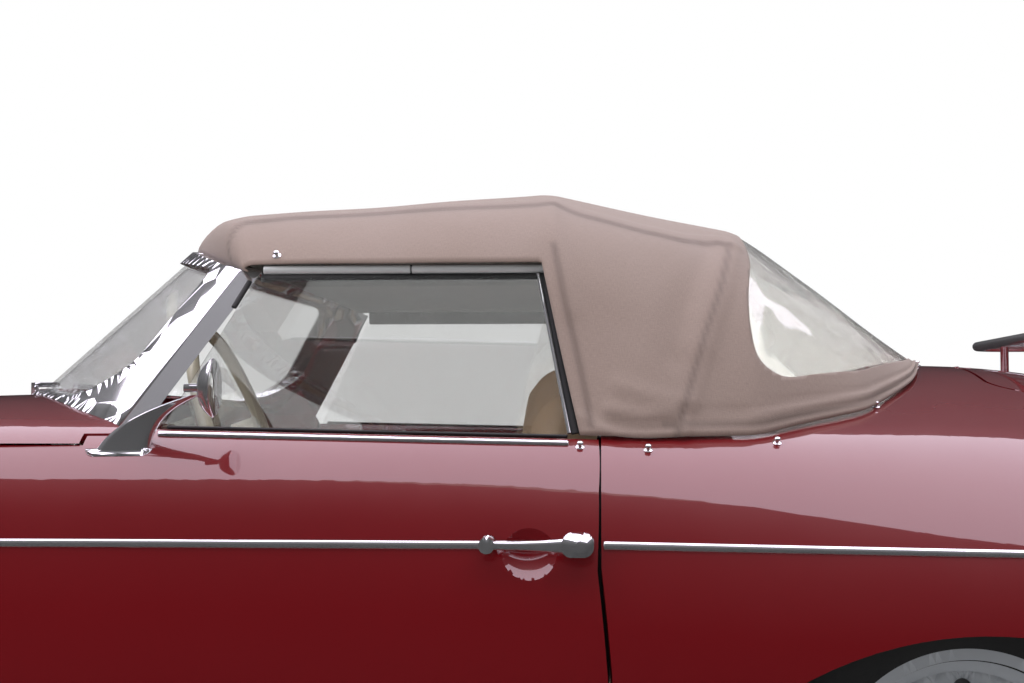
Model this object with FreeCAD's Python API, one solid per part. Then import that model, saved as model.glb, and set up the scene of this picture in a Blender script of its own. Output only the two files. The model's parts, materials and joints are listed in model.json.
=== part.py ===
import FreeCAD, Part
import math
import os

os.makedirs("parts", exist_ok=True)

# A two-seat convertible car with its engine behind the rear axle and its fabric top up.
# X points forward, Y to the car's left, Z up, and the ground is at Z 0. Sizes are in millimetres.

# Whole car
overall_length = 3950
wheelbase = 2100
axle_middle_x = 165
front_track = 1306
rear_track = 1272
front_axle_x = axle_middle_x + wheelbase / 2
rear_axle_x = axle_middle_x - wheelbase / 2
bumper_front_x = overall_length / 2
bumper_rear_x = -overall_length / 2

# Tyres and wheels
tyre_radius = 318
tyre_width = 160
tyre_shoulder_drop = 14
tyre_tread_width = 112
rim_flange_radius = 208
rim_seat_radius = 190
rim_width = 124
rim_wall = 5
rim_well_depth = 22
disc_offset = 18
disc_wall = 6
disc_hole_count = 10
disc_hole_radius = 14
disc_hole_circle = 138
hubcap_radius = 118
hubcap_height = 42
drum_radius = 150
drum_depth = 48
drum_step = 16
hub_radius = 62
axle_z = tyre_radius

# Clearances
seat_gap = 0.3
panel_gap = 6
wheel_clearance = 36

# Body skin
wall = 14
pan_thickness = 10
floor_z = 195
belt_z_front = 823
belt_z_rear = 809
cabin_half_width = 645
foot_well_half_width = 625
inner_belt_half_width = 692
engine_bay_half_width = 330
firewall_x = front_axle_x - 547

# Stations of the body, front to rear: place from the axle named in the last column, crown height on the
# centre line, crest of the wing as y, z and slope in degrees, widest point as y and z, and foot as y and z.
body_stations = [
    (650, 462, 120, 458, -6, 240, 425, 180, 388, "front"),
    (630, 520, 270, 514, -6, 400, 432, 330, 325, "front"),
    (570, 580, 440, 598, -2, 590, 446, 520, 268, "front"),
    (465, 648, 540, 690, 2, 715, 462, 645, 224, "front"),
    (330, 718, 585, 742, 0, 776, 474, 708, 200, "front"),
    (0, 792, 612, 795, -3, 802, 480, 735, 195, "front"),
    (-345, 850, 628, 827, -11, 810, 480, 740, 195, "front"),
    (-815, 878, 634, 838, -14, 814, 480, 742, 195, "front"),
    (535, 890, 634, 829, -16, 820, 480, 743, 195, "rear"),
    (0, 934, 566, 830, -19, 835, 480, 745, 195, "rear"),
    (-365, 896, 520, 800, -20, 816, 480, 730, 204, "rear"),
    (-665, 752, 466, 694, -16, 752, 468, 668, 232, "rear"),
    (-840, 612, 398, 580, -12, 634, 446, 552, 276, "rear"),
    (-945, 500, 270, 486, -8, 450, 414, 380, 318, "rear"),
    (-990, 420, 110, 415, -6, 220, 380, 170, 345, "rear"),
]

# Doors
door_front_x = front_axle_x - 595
door_rear_x = rear_axle_x + 518
door_rear_lean = 28
door_bottom_z = 262
door_edge_taper = 52
door_corner = 70
door_opening_angle = 65
cowl_rear_x = front_axle_x - 842
cowl_door_z = 797
pillar_foot_rear_x = cowl_rear_x - 98
handle_x = door_rear_x + 82
handle_z = 669
handle_length = 156
handle_reach = 34
recess_shift = 10
recess_radius = 58
recess_lift = 47
door_glass_thickness = 5
glass_foot_y = 668
glass_top_y = 568
glass_top_z = 1056
door_hinge_y = 816

# Windscreen and its frame: foot and head arcs
screen_foot_x = front_axle_x - 536
screen_foot_side_x = front_axle_x - 875
screen_foot_side_y = 672
screen_foot_z = 868
screen_foot_side_z = 815
screen_head_x = front_axle_x - 842
screen_head_side_x = front_axle_x - 1030
screen_head_side_y = 548
screen_head_z = 1142
screen_head_side_z = 1066
screen_frame_depth = 36
screen_glass_thickness = 9
screen_open_foot_y = 596
screen_open_head_y = 480
screen_open_foot_z = 893
screen_open_foot_side_z = 868
screen_open_head_z = 1120
screen_open_head_side_z = 1078
screen_corner = 46

# Fabric top: place from the rear axle, crown height, shoulder as y, z and slope, and foot as y, z and slope.
cloth = 10
hem_depth = 20
top_stations = [
    (1290, 1136, 420, 1104, -14, 690, 780, -70),
    (1120, 1202, 438, 1155, -15, 690, 780, -72),
    (792, 1228, 446, 1170, -16, 690, 780, -72),
    (600, 1242, 450, 1178, -17, 690, 780, -74),
    (450, 1212, 452, 1134, -19, 686, 780, -78),
    (284, 1172, 440, 1102, -22, 664, 770, -80),
    (240, 1148, 420, 1074, -24, 640, 770, -80),
    (110, 1052, 385, 982, -26, 560, 770, -80),
    (-5, 968, 270, 926, -22, 400, 800, -78),
    (-75, 930, 110, 915, -12, 190, 850, -70),
]
side_window_top_z = 1070
window_sweep_gap = 8
rail_depth = 14
rail_height = 26
rail_inset = 19
side_window_rear_x = rear_axle_x + 552
side_window_rear_top_x = rear_axle_x + 598
rear_window_half_width = 410
rear_window_top_x = rear_axle_x + 222
rear_window_bottom_x = rear_axle_x + 2
rear_window_thickness = 3

# Door mirror: x, y and z of the horn's sections with their half length and half width
mirror_foot_x = front_axle_x - 898
mirror_head_x = front_axle_x - 1043
mirror_radius = 42
mirror_plate = 3
mirror_sections = [
    (mirror_foot_x, 712, 776, 44, 14),
    (mirror_foot_x - 22, 714, 822, 30, 11),
    (mirror_foot_x - 74, 728, 856, 15, 8),
    (mirror_foot_x - 118, 746, 872, 8, 5),
]

# Lids
front_lid_rear_x = front_axle_x - 455
front_lid_front_x = front_axle_x + 600
front_lid_half_width = 400
front_lid_nose_half_width = 250
front_lid_angle = 55
engine_lid_front_x = rear_axle_x - 128
engine_lid_rear_x = rear_axle_x - 800
engine_lid_half_width = 360
engine_lid_tail_half_width = 300
engine_lid_angle = 55
front_hinge_drop = 1.5
engine_hinge_drop = 4
hinge_y = 70

# Suspension and power train
kingpin_y = 580
kingpin_length = 170
kingpin_barrel = 22
kingpin_eye = 17
beam_x = front_axle_x + 138
beam_radius = 32
beam_upper_z = axle_z + 72
beam_lower_z = axle_z - 78
beam_half_length = 420
arm_thickness = 26
arm_radius = 11
steering_angle = 30
steering_ratio = 14
axle_tube_radius = 32
transaxle_radius = 125
engine_length = 460
engine_width = 620
engine_height = 400
engine_front_x = rear_axle_x - 215
engine_bottom_z = 190
bulkhead_x = door_rear_x - 262

# Bumpers
bumper_plan_radius = 1800
bumper_half_angle = 20.5
bumper_end_radius = 190
bumper_end_angle = 48
bracket_length = 230
bumper_height = 96
bumper_depth = 34
bumper_front_z = 425
bumper_rear_z = 430
override_y = 300
override_height = 190
override_width = 46

# Lamps
headlamp_y = 560
headlamp_z = 612
headlamp_x = front_axle_x + 555
headlamp_radius = 96
tail_lamp_y = 560
tail_lamp_z = 540
tail_lamp_radius = 36
tail_lamp_x = rear_axle_x - 834

# Cabin
seat_y = 328
seat_width = 470
seat_front_x = rear_axle_x + 1090
seat_rear_x = rear_axle_x + 600
seat_bottom_z = 240
seat_cushion_z = 440
seat_back_top_z = 935
seat_top_width = 330
seat_shoulder_drop = 230
seat_back_thickness = 110
runner_width = 24
runner_spacing = 340
steering_y = 330
steering_x = front_axle_x - 985
steering_z = 800
steering_wheel_radius = 198
steering_rim_radius = 11
column_slope = 20
column_radius = 16
column_length = 330
dash_depth = 60
dash_face_x = front_axle_x - 700
dash_height = 190
gauge_radius = 54
gauge_side_radius = 46
gauge_spacing = 112
gauge_stand = 9
gauge_z = belt_z_rear - 62

# Jack sockets in the sills
jack_x = front_axle_x - 1115
jack_y = 695
jack_radius = 14
jack_depth = 44

# Rack on the engine lid
rack_front_x = rear_axle_x - 250
rack_rear_x = rear_axle_x - 640
rack_half_width = 330
rack_tube = 9
rack_height = 62
rack_slats = 5

# Air grille in the engine lid
grille_front_x = rear_axle_x - 470
grille_rear_x = rear_axle_x - 690
grille_half_width = 150
grille_corner = 44
grille_rim = 16
grille_bars = 12
grille_bar = 7
grille_stand = 3

# Wipers
wiper_radius = 4
wiper_pivot_reach = 44


def vec(x, y, z):
    """A point from its three coordinates."""
    return FreeCAD.Vector(x, y, z)


def box(x0, x1, y0, y1, z0, z1):
    """A box from its limits along the three axes."""
    return Part.makeBox(x1 - x0, y1 - y0, z1 - z0, vec(x0, y0, z0))


def cylinder(radius, start, end):
    """A round bar between two points."""
    axis = end - start
    return Part.makeCylinder(radius, axis.Length, start, axis)


def mirrored(shape):
    """The same shape on the car's other side."""
    return shape.mirror(vec(0, 0, 0), vec(0, 1, 0))


def both_sides(shape):
    """A left shape with its right twin in one compound."""
    return Part.makeCompound([shape, mirrored(shape)])


def join(first, *others):
    """One solid from several that touch."""
    return first.fuse(list(others)).removeSplitter()


def arc_middle(start, apex, end, reach):
    """Middle point of the arc whose end tangents meet at the apex, the given reach from both ends."""
    chord_middle = (start + end) * 0.5
    half_angle_cosine = (end - start).Length / 2 / reach
    return chord_middle + (apex - chord_middle) * (half_angle_cosine / (1 + half_angle_cosine))


def tangent_arcs(start, start_slope, end, end_slope, x):
    """Two arcs that run smoothly from one (y, z) point to the next, with their slopes in degrees."""
    a = vec(x, start[0], start[1])
    b = vec(x, end[0], end[1])
    leave = vec(0, math.cos(math.radians(start_slope)), math.sin(math.radians(start_slope)))
    arrive = vec(0, math.cos(math.radians(end_slope)), math.sin(math.radians(end_slope)))
    span = b - a
    turn = 1 - leave.dot(arrive)
    along = span.dot(leave + arrive)
    if turn < 1e-9:
        reach = span.Length ** 2 / (2 * along)
    else:
        reach = (math.sqrt(along ** 2 + 2 * turn * span.Length ** 2) - along) / (2 * turn)
    first_apex = a + leave * reach
    second_apex = b - arrive * reach
    middle = (first_apex + second_apex) * 0.5
    points = []
    for p, apex, q in ((a, first_apex, middle), (middle, second_apex, b)):
        points.append((p, arc_middle(p, apex, q, reach), q))
    return points


def closing_arc(start, end, x):
    """One arc from a point where the side is upright to its foot, as three points."""
    a = vec(x, start[0], start[1])
    b = vec(x, end[0], end[1])
    drop = start[1] - end[1]
    pull = start[0] - end[0]
    radius = (drop ** 2 + pull ** 2) / (2 * pull)
    half_turn = math.asin(drop / radius) / 2
    middle = vec(x, start[0] - radius * (1 - math.cos(half_turn)), start[1] - radius * math.sin(half_turn))
    return a, middle, b


def edge_through(points):
    """An arc through three points, or a line where they are straight."""
    start, middle, end = points
    if (start + (end - start) * 0.5 - middle).Length < 1e-4:
        return Part.makeLine(start, end)
    return Part.Arc(start, middle, end).toShape()


def flip(points):
    """Three points of an arc carried to the other side and run backwards."""
    return [vec(p.x, -p.y, p.z) for p in reversed(points)]


def symmetric_section(x, crown_z, nodes, foot=None):
    """Closed section at x from its crown through nodes of y, z and slope to its foot, the same on both sides."""
    arcs = []
    previous = (0, crown_z, 0)
    for node in nodes:
        arcs += tangent_arcs(previous[:2], previous[2], node[:2], node[2], x)
        previous = node
    if foot:
        arcs.append(closing_arc(previous[:2], foot, x))
        previous = foot
    foot_y, foot_z = previous[:2]
    bottom = Part.makeLine(vec(x, foot_y, foot_z), vec(x, -foot_y, foot_z))
    left_side = [edge_through(points) for points in arcs]
    right_side = [edge_through(flip(points)) for points in reversed(arcs)]
    return Part.Wire(left_side + [bottom] + right_side)


def body_form(inset, bottom_rise=0):
    """The body's outer form, or a form inside it by the inset, as one solid."""
    axles = {"front": front_axle_x, "rear": rear_axle_x}
    shrink = 1 - inset / (wheelbase / 2 + 740)
    sections = []
    for offset, crown, crest_y, crest_z, crest_slope, wide_y, wide_z, foot_y, foot_z, axle in body_stations:
        nodes = [
            (crest_y - inset * 0.3, crest_z - inset, crest_slope),
            (wide_y - inset, wide_z, -90),
        ]
        foot = (foot_y - inset * 0.9, foot_z + bottom_rise)
        x = axle_middle_x + (axles[axle] + offset - axle_middle_x) * shrink
        sections.append(symmetric_section(x, crown - inset, nodes, foot))
    return Part.makeLoft(sections, True, False)


def top_form(inset, bottom_rise=0):
    """The fabric top's outer form, straight from bow to bow, or a form inside it by the inset, as one solid."""
    middle = (top_stations[0][0] + top_stations[-1][0]) / 2
    shrink = 1 - inset / (top_stations[0][0] - middle)
    sections = []
    for offset, crown, shoulder_y, shoulder_z, shoulder_slope, foot_y, foot_z, foot_slope in top_stations:
        nodes = [
            (shoulder_y - inset * 0.3, shoulder_z - inset, shoulder_slope),
            (foot_y - inset, foot_z + bottom_rise, foot_slope),
        ]
        x = rear_axle_x + middle + (offset - middle) * shrink
        sections.append(symmetric_section(x, crown - inset, nodes))
    return Part.makeLoft(sections, True, True)


def hollow(outside, inside):
    """The wall between two forms, one wholly inside the other."""
    inside_shell = inside.OuterShell.copy()
    inside_shell.reverse()
    return Part.makeSolid(Part.makeCompound([outside.OuterShell, inside_shell]))


def outline_face(points, corner, plane_y=0):
    """Face in an XZ plane from (x, z) corners, each rounded by the corner radius."""
    vectors = [vec(x, plane_y, z) for x, z in points]
    count = len(vectors)
    ends = []
    for i in range(count):
        before = (vectors[i - 1] - vectors[i]).normalize()
        after = (vectors[(i + 1) % count] - vectors[i]).normalize()
        half = before.getAngle(after) / 2
        reach = corner / math.tan(half)
        centre = vectors[i] + (before + after).normalize() * (corner / math.sin(half))
        near = centre + (vectors[i] - centre).normalize() * corner
        ends.append((vectors[i] + before * reach, near, vectors[i] + after * reach))
    edges = []
    for i in range(count):
        edges.append(Part.Arc(*ends[i]).toShape())
        edges.append(Part.makeLine(ends[i][2], ends[(i + 1) % count][0]))
    return Part.Face(Part.Wire(edges))


def door_block(grow):
    """Tapered block that cuts the left door out of the body, grown by a gap on every edge."""
    wires = []
    for y, taper in ((900, 0), (600, door_edge_taper)):
        rear = door_rear_x - grow + taper
        points = [
            (rear, belt_z_front + 60),
            (rear - door_rear_lean, door_bottom_z + 230),
            (rear - door_rear_lean + 6, door_bottom_z - grow + taper * 0.6),
            (door_front_x + grow, door_bottom_z - grow + taper * 0.6),
            (door_front_x + grow, belt_z_front + 60),
        ]
        wires.append(outline_face(points, door_corner * 0.5 + grow * 0.5, y).OuterWire)
    return Part.makeLoft(wires, True, True)


def screen_arc(x, z, side_x, side_y, side_z):
    """Arc across the car through its left, centre and right points."""
    return Part.Arc(vec(side_x, side_y, side_z), vec(x, 0, z), vec(side_x, -side_y, side_z)).toShape()


def screen_sheet(front, depth, below, above=0):
    """Curved sheet along the windscreen, from its front shift to the depth behind it, both along X."""
    foot = (screen_foot_x, screen_foot_z, screen_foot_side_x, screen_foot_side_y, screen_foot_side_z)
    head = (screen_head_x, screen_head_z, screen_head_side_x, screen_head_side_y, screen_head_side_z)
    low = [f + (f - h) * below for f, h in zip(foot, head)]
    high = [h + (h - f) * above for f, h in zip(foot, head)]
    face = Part.makeRuledSurface(screen_arc(*low), screen_arc(*high))
    face.translate(vec(front, 0, 0))
    return face.extrude(vec(-depth, 0, 0))


def screen_opening(grow):
    """Block along X with the windscreen's outline seen from the front, grown by an edge."""
    foot_y = screen_open_foot_y + grow
    head_y = screen_open_head_y + grow
    low = [vec(0, -foot_y, screen_open_foot_side_z - grow), vec(0, 0, screen_open_foot_z - grow),
           vec(0, foot_y, screen_open_foot_side_z - grow)]
    high = [vec(0, head_y, screen_open_head_side_z + grow), vec(0, 0, screen_open_head_z + grow),
            vec(0, -head_y, screen_open_head_side_z + grow)]
    edges = [Part.Arc(*low).toShape(), Part.makeLine(low[2], high[0]),
             Part.Arc(*high).toShape(), Part.makeLine(high[2], low[0])]
    block = Part.Face(Part.Wire(edges)).extrude(vec(2 * front_axle_x, 0, 0))
    corners = [e for e in block.Edges if abs(e.Length - 2 * front_axle_x) < 1]
    return block.makeFillet(screen_corner + grow, corners)


def cabin_void():
    """The room inside the cabin, open upwards, with its front edge along the windscreen."""
    dash_room = 34
    front_y = cabin_half_width
    front = screen_arc(screen_foot_x - dash_room, 0, screen_foot_side_x + 22 - dash_room, front_y, 0)
    front_end = vec(screen_foot_side_x + 22 - dash_room, -front_y, 0)
    front_start = vec(screen_foot_side_x + 22 - dash_room, front_y, 0)
    rear_x = rear_axle_x + 23
    rear = Part.Arc(vec(door_rear_x - 5, -front_y, 0), vec(rear_x, 0, 0), vec(door_rear_x - 5, front_y, 0))
    right = Part.makeLine(front_end, rear.StartPoint)
    left = Part.makeLine(rear.EndPoint, front_start)
    plan = Part.Face(Part.Wire([front, right, rear.toShape(), left]))
    plan.translate(vec(0, 0, floor_z + pan_thickness))
    return plan.extrude(vec(0, 0, 1200))


def wheel_house(axle_x, inner_y, radius):
    """Left wheel house: a drum-like shell about the wheel, closed on its inner side."""
    sheet = 6
    start = vec(axle_x, inner_y - sheet, axle_z)
    shell = cylinder(radius + sheet, start, vec(axle_x, 900, axle_z))
    return shell.cut(cylinder(radius, vec(axle_x, inner_y, axle_z), vec(axle_x, 901, axle_z)))


def revolve_profile(points, x, z):
    """Solid turned about a Y axis through x and z from (radius, y) corners."""
    wire = Part.makePolygon([vec(x + radius, y, z) for radius, y in points + points[:1]])
    return Part.Face(wire).revolve(vec(x, 0, z), vec(0, 1, 0), 360)


def tyre_shape(x, y):
    """Tyre about its wheel's centre."""
    half = tyre_width / 2
    bead = rim_width / 2 - rim_wall - seat_gap
    points = [
        (rim_seat_radius + seat_gap, y - bead),
        (rim_flange_radius + seat_gap, y - bead),
        (rim_flange_radius + 34, y - half),
        (tyre_radius - 22, y - half * 0.86),
        (tyre_radius, y - tyre_tread_width / 2 + tyre_shoulder_drop),
        (tyre_radius, y + tyre_tread_width / 2 - tyre_shoulder_drop),
        (tyre_radius - 22, y + half * 0.86),
        (rim_flange_radius + 34, y + half),
        (rim_flange_radius + seat_gap, y + bead),
        (rim_seat_radius + seat_gap, y + bead),
    ]
    return revolve_profile(points, x, axle_z)


def rim_shape(x, y, side):
    """Wheel with its rim, disc, holes and hubcap, the outer face towards the given side."""
    half = rim_width / 2
    seat = rim_seat_radius
    well = seat - rim_well_depth
    profile = [
        (rim_flange_radius, -half),
        (rim_flange_radius, -half + rim_wall),
        (seat, -half + rim_wall),
        (seat, -half + 34),
        (well, -half + 44),
        (well, half - 44),
        (seat, half - 34),
        (seat, half - rim_wall),
        (rim_flange_radius, half - rim_wall),
        (rim_flange_radius, half),
        (seat - rim_wall, half),
        (seat - rim_wall, half - 30),
        (well - rim_wall, half - 42),
        (well - rim_wall, -half + 42),
        (seat - rim_wall, -half + 30),
        (seat - rim_wall, -half),
    ]
    rim = revolve_profile([(r, y + side * w) for r, w in profile], x, axle_z)
    face_y = disc_offset
    disc_profile = [
        (0.01, face_y + hubcap_height),
        (hubcap_radius * 0.55, face_y + hubcap_height * 0.82),
        (hubcap_radius * 0.9, face_y + hubcap_height * 0.4),
        (hubcap_radius, face_y + disc_wall),
        (well - rim_wall + 1, face_y - 8),
        (well - rim_wall + 1, face_y - 8 - disc_wall),
        (hubcap_radius, face_y - disc_wall),
        (0.01, face_y - disc_wall),
    ]
    disc = revolve_profile([(r, y + side * w) for r, w in disc_profile], x, axle_z)
    for i in range(disc_hole_count):
        angle = 2 * math.pi * (i + 0.5) / disc_hole_count
        hole_x = x + disc_hole_circle * math.cos(angle)
        hole_z = axle_z + disc_hole_circle * math.sin(angle)
        disc = disc.cut(cylinder(disc_hole_radius, vec(hole_x, y - 60, hole_z), vec(hole_x, y + 60, hole_z)))
    return join(rim, disc)


def bumper(face_x, z, direction):
    """Curved bumper blade with two upright guards, convex towards the given direction along X."""
    half = bumper_height / 2
    outer = bumper_plan_radius
    inner = outer - bumper_depth
    profile = Part.Wire([
        Part.Arc(vec(inner, 0, z - half), vec(outer, 0, z), vec(inner, 0, z + half)).toShape(),
        Part.makeLine(vec(inner, 0, z + half), vec(inner - 6, 0, z + half)),
        Part.makeLine(vec(inner - 6, 0, z + half), vec(inner - 6, 0, z - half)),
        Part.makeLine(vec(inner - 6, 0, z - half), vec(inner, 0, z - half)),
    ])
    face = Part.Face(profile)
    face.rotate(vec(0, 0, 0), vec(0, 0, 1), -bumper_half_angle)
    blade = face.revolve(vec(0, 0, 0), vec(0, 0, 1), 2 * bumper_half_angle)
    turn = math.radians(bumper_half_angle)
    end_reach = outer - bumper_end_radius
    end_centre = vec(end_reach * math.cos(turn), -end_reach * math.sin(turn), 0)
    wrap = face.revolve(end_centre, vec(0, 0, 1), -bumper_end_angle)
    guard_x = math.sqrt(outer ** 2 - override_y ** 2)
    shift = face_x - direction * outer
    body = seat_form.common(box(*sorted((face_x, face_x - direction * 400)), -500, 500, z - 60, z + 60))
    parts = [blade, wrap, mirrored(wrap)]
    for y in (-override_y, override_y):
        guard = box(guard_x - 50, guard_x + 26, y - override_width / 2, y + override_width / 2,
                    z - override_height / 2, z + override_height / 2)
        parts.append(guard.makeFillet(20, [e for e in guard.Edges if e.Length > override_width * 1.01]))
        bracket = box(guard_x - bracket_length, guard_x - 30, y - 20, y + 20, z - 14, z + 14)
        local_body = body.copy()
        local_body.translate(vec(-shift, 0, 0))
        if direction < 0:
            local_body.rotate(vec(0, 0, 0), vec(0, 0, 1), 180)
        parts.append(max(bracket.cut(local_body).Solids, key=lambda s: s.CenterOfMass.x))
    whole = join(*parts)
    if direction < 0:
        whole.rotate(vec(0, 0, 0), vec(0, 0, 1), 180)
    whole.translate(vec(shift, 0, 0))
    return whole


def brake(x, track):
    """Left brake drum with the hub face that carries the wheel's disc."""
    hub_y = track / 2 + disc_offset - disc_wall - seat_gap
    drum = cylinder(drum_radius, vec(x, hub_y - drum_depth - drum_step, axle_z), vec(x, hub_y - drum_step, axle_z))
    hub = cylinder(hub_radius, vec(x, hub_y - drum_step, axle_z), vec(x, hub_y, axle_z))
    return drum.fuse(hub)


def knuckle(side):
    """Steering knuckle with its kingpin barrel, stub axle and brake drum."""
    low = vec(front_axle_x, kingpin_y, axle_z - kingpin_length / 2)
    high = vec(front_axle_x, kingpin_y, axle_z + kingpin_length / 2)
    barrel = cylinder(kingpin_barrel, low, high)
    stub = cylinder(20, vec(front_axle_x, kingpin_y, axle_z), vec(front_axle_x, front_track / 2, axle_z))
    whole = join(barrel, stub, brake(front_axle_x, front_track))
    return whole if side > 0 else mirrored(whole)


def front_axle():
    """Two cross tubes with trailing arms that end in eyes above and below the kingpin barrel."""
    parts = []
    for z in (beam_lower_z, beam_upper_z):
        parts.append(cylinder(beam_radius, vec(beam_x, -beam_half_length, z), vec(beam_x, beam_half_length, z)))
        eye_z = axle_z + math.copysign(kingpin_length / 2 + seat_gap, z - axle_z)
        for side in (-1, 1):
            arm_y = side * (beam_half_length - 2)
            arm_z = eye_z + math.copysign(arm_thickness / 2, z - axle_z)
            elbow = vec(front_axle_x, side * 470, arm_z)
            parts.append(cylinder(arm_radius, vec(beam_x, arm_y, z), elbow))
            parts.append(cylinder(arm_radius, elbow, vec(front_axle_x, side * kingpin_y, arm_z)))
            parts.append(Part.makeSphere(arm_radius + 1, elbow))
            eye_foot = vec(front_axle_x, side * kingpin_y, arm_z - arm_thickness / 2)
            parts.append(Part.makeCylinder(kingpin_eye, arm_thickness, eye_foot))
    for y in (-250, 250):
        bracket = box(beam_x - 20, beam_x + 20, y - 12, y + 12, 0, beam_upper_z + 40)
        parts.append(bracket.common(lining))
    return join(*parts)


def rear_axle():
    """Transaxle case with its swing axle tubes and rear brake drums."""
    case_front = vec(bulkhead_x - seat_gap, 0, axle_z)
    case = cylinder(transaxle_radius, case_front, vec(engine_front_x + seat_gap, 0, axle_z))
    tube = cylinder(axle_tube_radius, vec(rear_axle_x, -rear_track / 2, axle_z), vec(rear_axle_x, rear_track / 2, axle_z))
    drum = brake(rear_axle_x, rear_track)
    return join(case, tube, drum, mirrored(drum))


def seat(y):
    """Bucket seat of one cushion and one reclined back."""
    back_foot = seat_rear_x + 120
    points = [
        (seat_front_x, seat_cushion_z - 30),
        (back_foot + 40, seat_cushion_z - 70),
        (seat_rear_x + 20, seat_back_top_z),
        (seat_rear_x - seat_back_thickness + 40, seat_back_top_z - 30),
        (back_foot - 90, seat_bottom_z + 40),
        (seat_front_x - 30, seat_bottom_z),
    ]
    face = outline_face(points, 24, y - seat_width / 2)
    half = seat_width / 2
    shoulder_z = seat_back_top_z - seat_shoulder_drop
    front_view = outline_face([(half, seat_bottom_z - 1), (half, shoulder_z), (seat_top_width / 2, seat_back_top_z + 1),
                               (-seat_top_width / 2, seat_back_top_z + 1), (-half, shoulder_z), (-half, seat_bottom_z - 1)], 34)
    front_view.rotate(vec(0, 0, 0), vec(0, 0, 1), 90)
    front_view.translate(vec(-far, y, 0))
    shape = face.extrude(vec(0, seat_width, 0)).common(front_view.extrude(vec(2 * far, 0, 0)))
    parts = [max(shape.Solids, key=lambda piece: piece.Volume)]
    floor_top = floor_z + pan_thickness + seat_gap
    for runner_y in (y - runner_spacing / 2, y + runner_spacing / 2):
        parts.append(box(back_foot, seat_front_x - 60, runner_y - runner_width / 2, runner_y + runner_width / 2,
                         floor_top, seat_bottom_z + 10))
    return join(*parts)


def steering_placed(shape):
    """Carry a shape from the steering column's own axes to its place in the car."""
    shape.rotate(vec(0, 0, 0), vec(0, 1, 0), 90 + column_slope)
    shape.translate(vec(steering_x, steering_y, steering_z))
    return shape


def steering_wheel():
    """Steering wheel with two spokes, hub and column, turned to the driver."""
    rim = Part.makeTorus(steering_wheel_radius, steering_rim_radius)
    hub = Part.makeCylinder(32, 40, vec(0, 0, -34))
    spoke = cylinder(7, vec(0, -steering_wheel_radius, 0), vec(0, steering_wheel_radius, 0))
    column = Part.makeCylinder(column_radius, column_length, vec(0, 0, 0))
    return steering_placed(join(rim, hub, spoke, column))


def luggage_rack(deck):
    """Tube rack: an outer loop and cross slats on four feet that stand on the engine lid."""
    top_z = deck_top_z(deck, rack_front_x) + rack_height
    corner = 60
    points = [(rack_front_x, rack_half_width), (rack_rear_x, rack_half_width),
              (rack_rear_x, -rack_half_width), (rack_front_x, -rack_half_width)]
    face = outline_face(points, corner)
    face.rotate(vec(0, 0, 0), vec(1, 0, 0), 90)
    loop = face.OuterWire
    start = loop.Edges[1].firstVertex().Point
    section = Part.Wire(Part.makeCircle(rack_tube, start, loop.Edges[1].tangentAt(0)))
    tube = loop.makePipeShell([section], True, False)
    parts = [tube]
    for i in range(rack_slats):
        y = -rack_half_width + 2 * rack_half_width * (i + 1) / (rack_slats + 1)
        parts.append(box(rack_rear_x, rack_front_x, y - 12, y + 12, -4, 4))
    rack = join(*parts)
    rack.translate(vec(0, 0, top_z))
    feet = []
    for x in (rack_front_x - 40, rack_rear_x + 70):
        for y in (-rack_half_width * 0.667, rack_half_width * 0.667):
            feet.append(cylinder(8, vec(x, y, top_z), vec(x, y, top_z - 420)))
    legs = Part.makeCompound(feet).cut(deck)
    return join(rack, *legs.Solids)


def deck_top_z(form, x):
    """Height of a body form's top on the centre line at x."""
    probe = Part.makeLine(vec(x, 0, 0), vec(x, 0, 2000))
    return max(v.Point.z for v in form.common(probe).Vertexes)


def save(name, shape):
    """Write one piece to its own file."""
    shape.exportStep("parts/" + name + ".step")


outer = body_form(0)
inner = body_form(wall, pan_thickness)
skin = hollow(outer, inner)
seat_form = body_form(-seat_gap)
lining = body_form(wall + seat_gap, pan_thickness + seat_gap)
void = cabin_void()
door_left_block = door_block(0)
aperture = door_block(panel_gap)
apertures = [aperture, mirrored(aperture)]
far = 3000

# Pillar feet: fixed blocks under the windscreen frame's ends, with a step in the door around them
pillar_block = box(pillar_foot_rear_x + panel_gap, cowl_rear_x + 60, cabin_half_width - 50,
                   inner_belt_half_width - panel_gap, cowl_door_z + panel_gap, belt_z_front + 40)
door_step = box(pillar_foot_rear_x, cowl_rear_x + 10, cabin_half_width - 60,
                inner_belt_half_width, cowl_door_z, belt_z_front + 60)

# Front shell: nose, wings and the cowl as far back as the windscreen
front_door_edge = door_front_x + panel_gap
front_region = box(front_door_edge, far, -far, far, 0, far)
cowl_region = box(cowl_rear_x + panel_gap, front_door_edge, -far, far, cowl_door_z + panel_gap, far)
front_skin = skin.common(front_region)
cowl = outer.common(cowl_region).cut(void)
front_arch_radius = tyre_radius + wheel_clearance - 12
front_inner_y = kingpin_y - 190
house_radius = tyre_radius + wheel_clearance
front_arches = both_sides(cylinder(front_arch_radius, vec(front_axle_x, front_inner_y, axle_z), vec(front_axle_x, far, axle_z)))
front_house_room = both_sides(cylinder(house_radius + 7, vec(front_axle_x, front_inner_y - 7, axle_z), vec(front_axle_x, 720, axle_z)))
low_space = box(-far, far, -far, far, 0, floor_z + 60)
lid_points = [
    (front_lid_rear_x, front_lid_half_width),
    (front_lid_front_x, front_lid_nose_half_width),
    (front_lid_front_x, -front_lid_nose_half_width),
    (front_lid_rear_x, -front_lid_half_width),
]


def lid_block(points, grow, corner):
    """Upright block with a lid's plan outline, grown by the gap around it."""
    face = outline_face(points, corner)
    face.rotate(vec(0, 0, 0), vec(1, 0, 0), 90)
    wire = face.OuterWire
    if grow:
        wire = wire.makeOffset2D(grow)
    block = Part.Face(wire).extrude(vec(0, 0, 800))
    block.translate(vec(0, 0, floor_z + 260))
    return block


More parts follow.
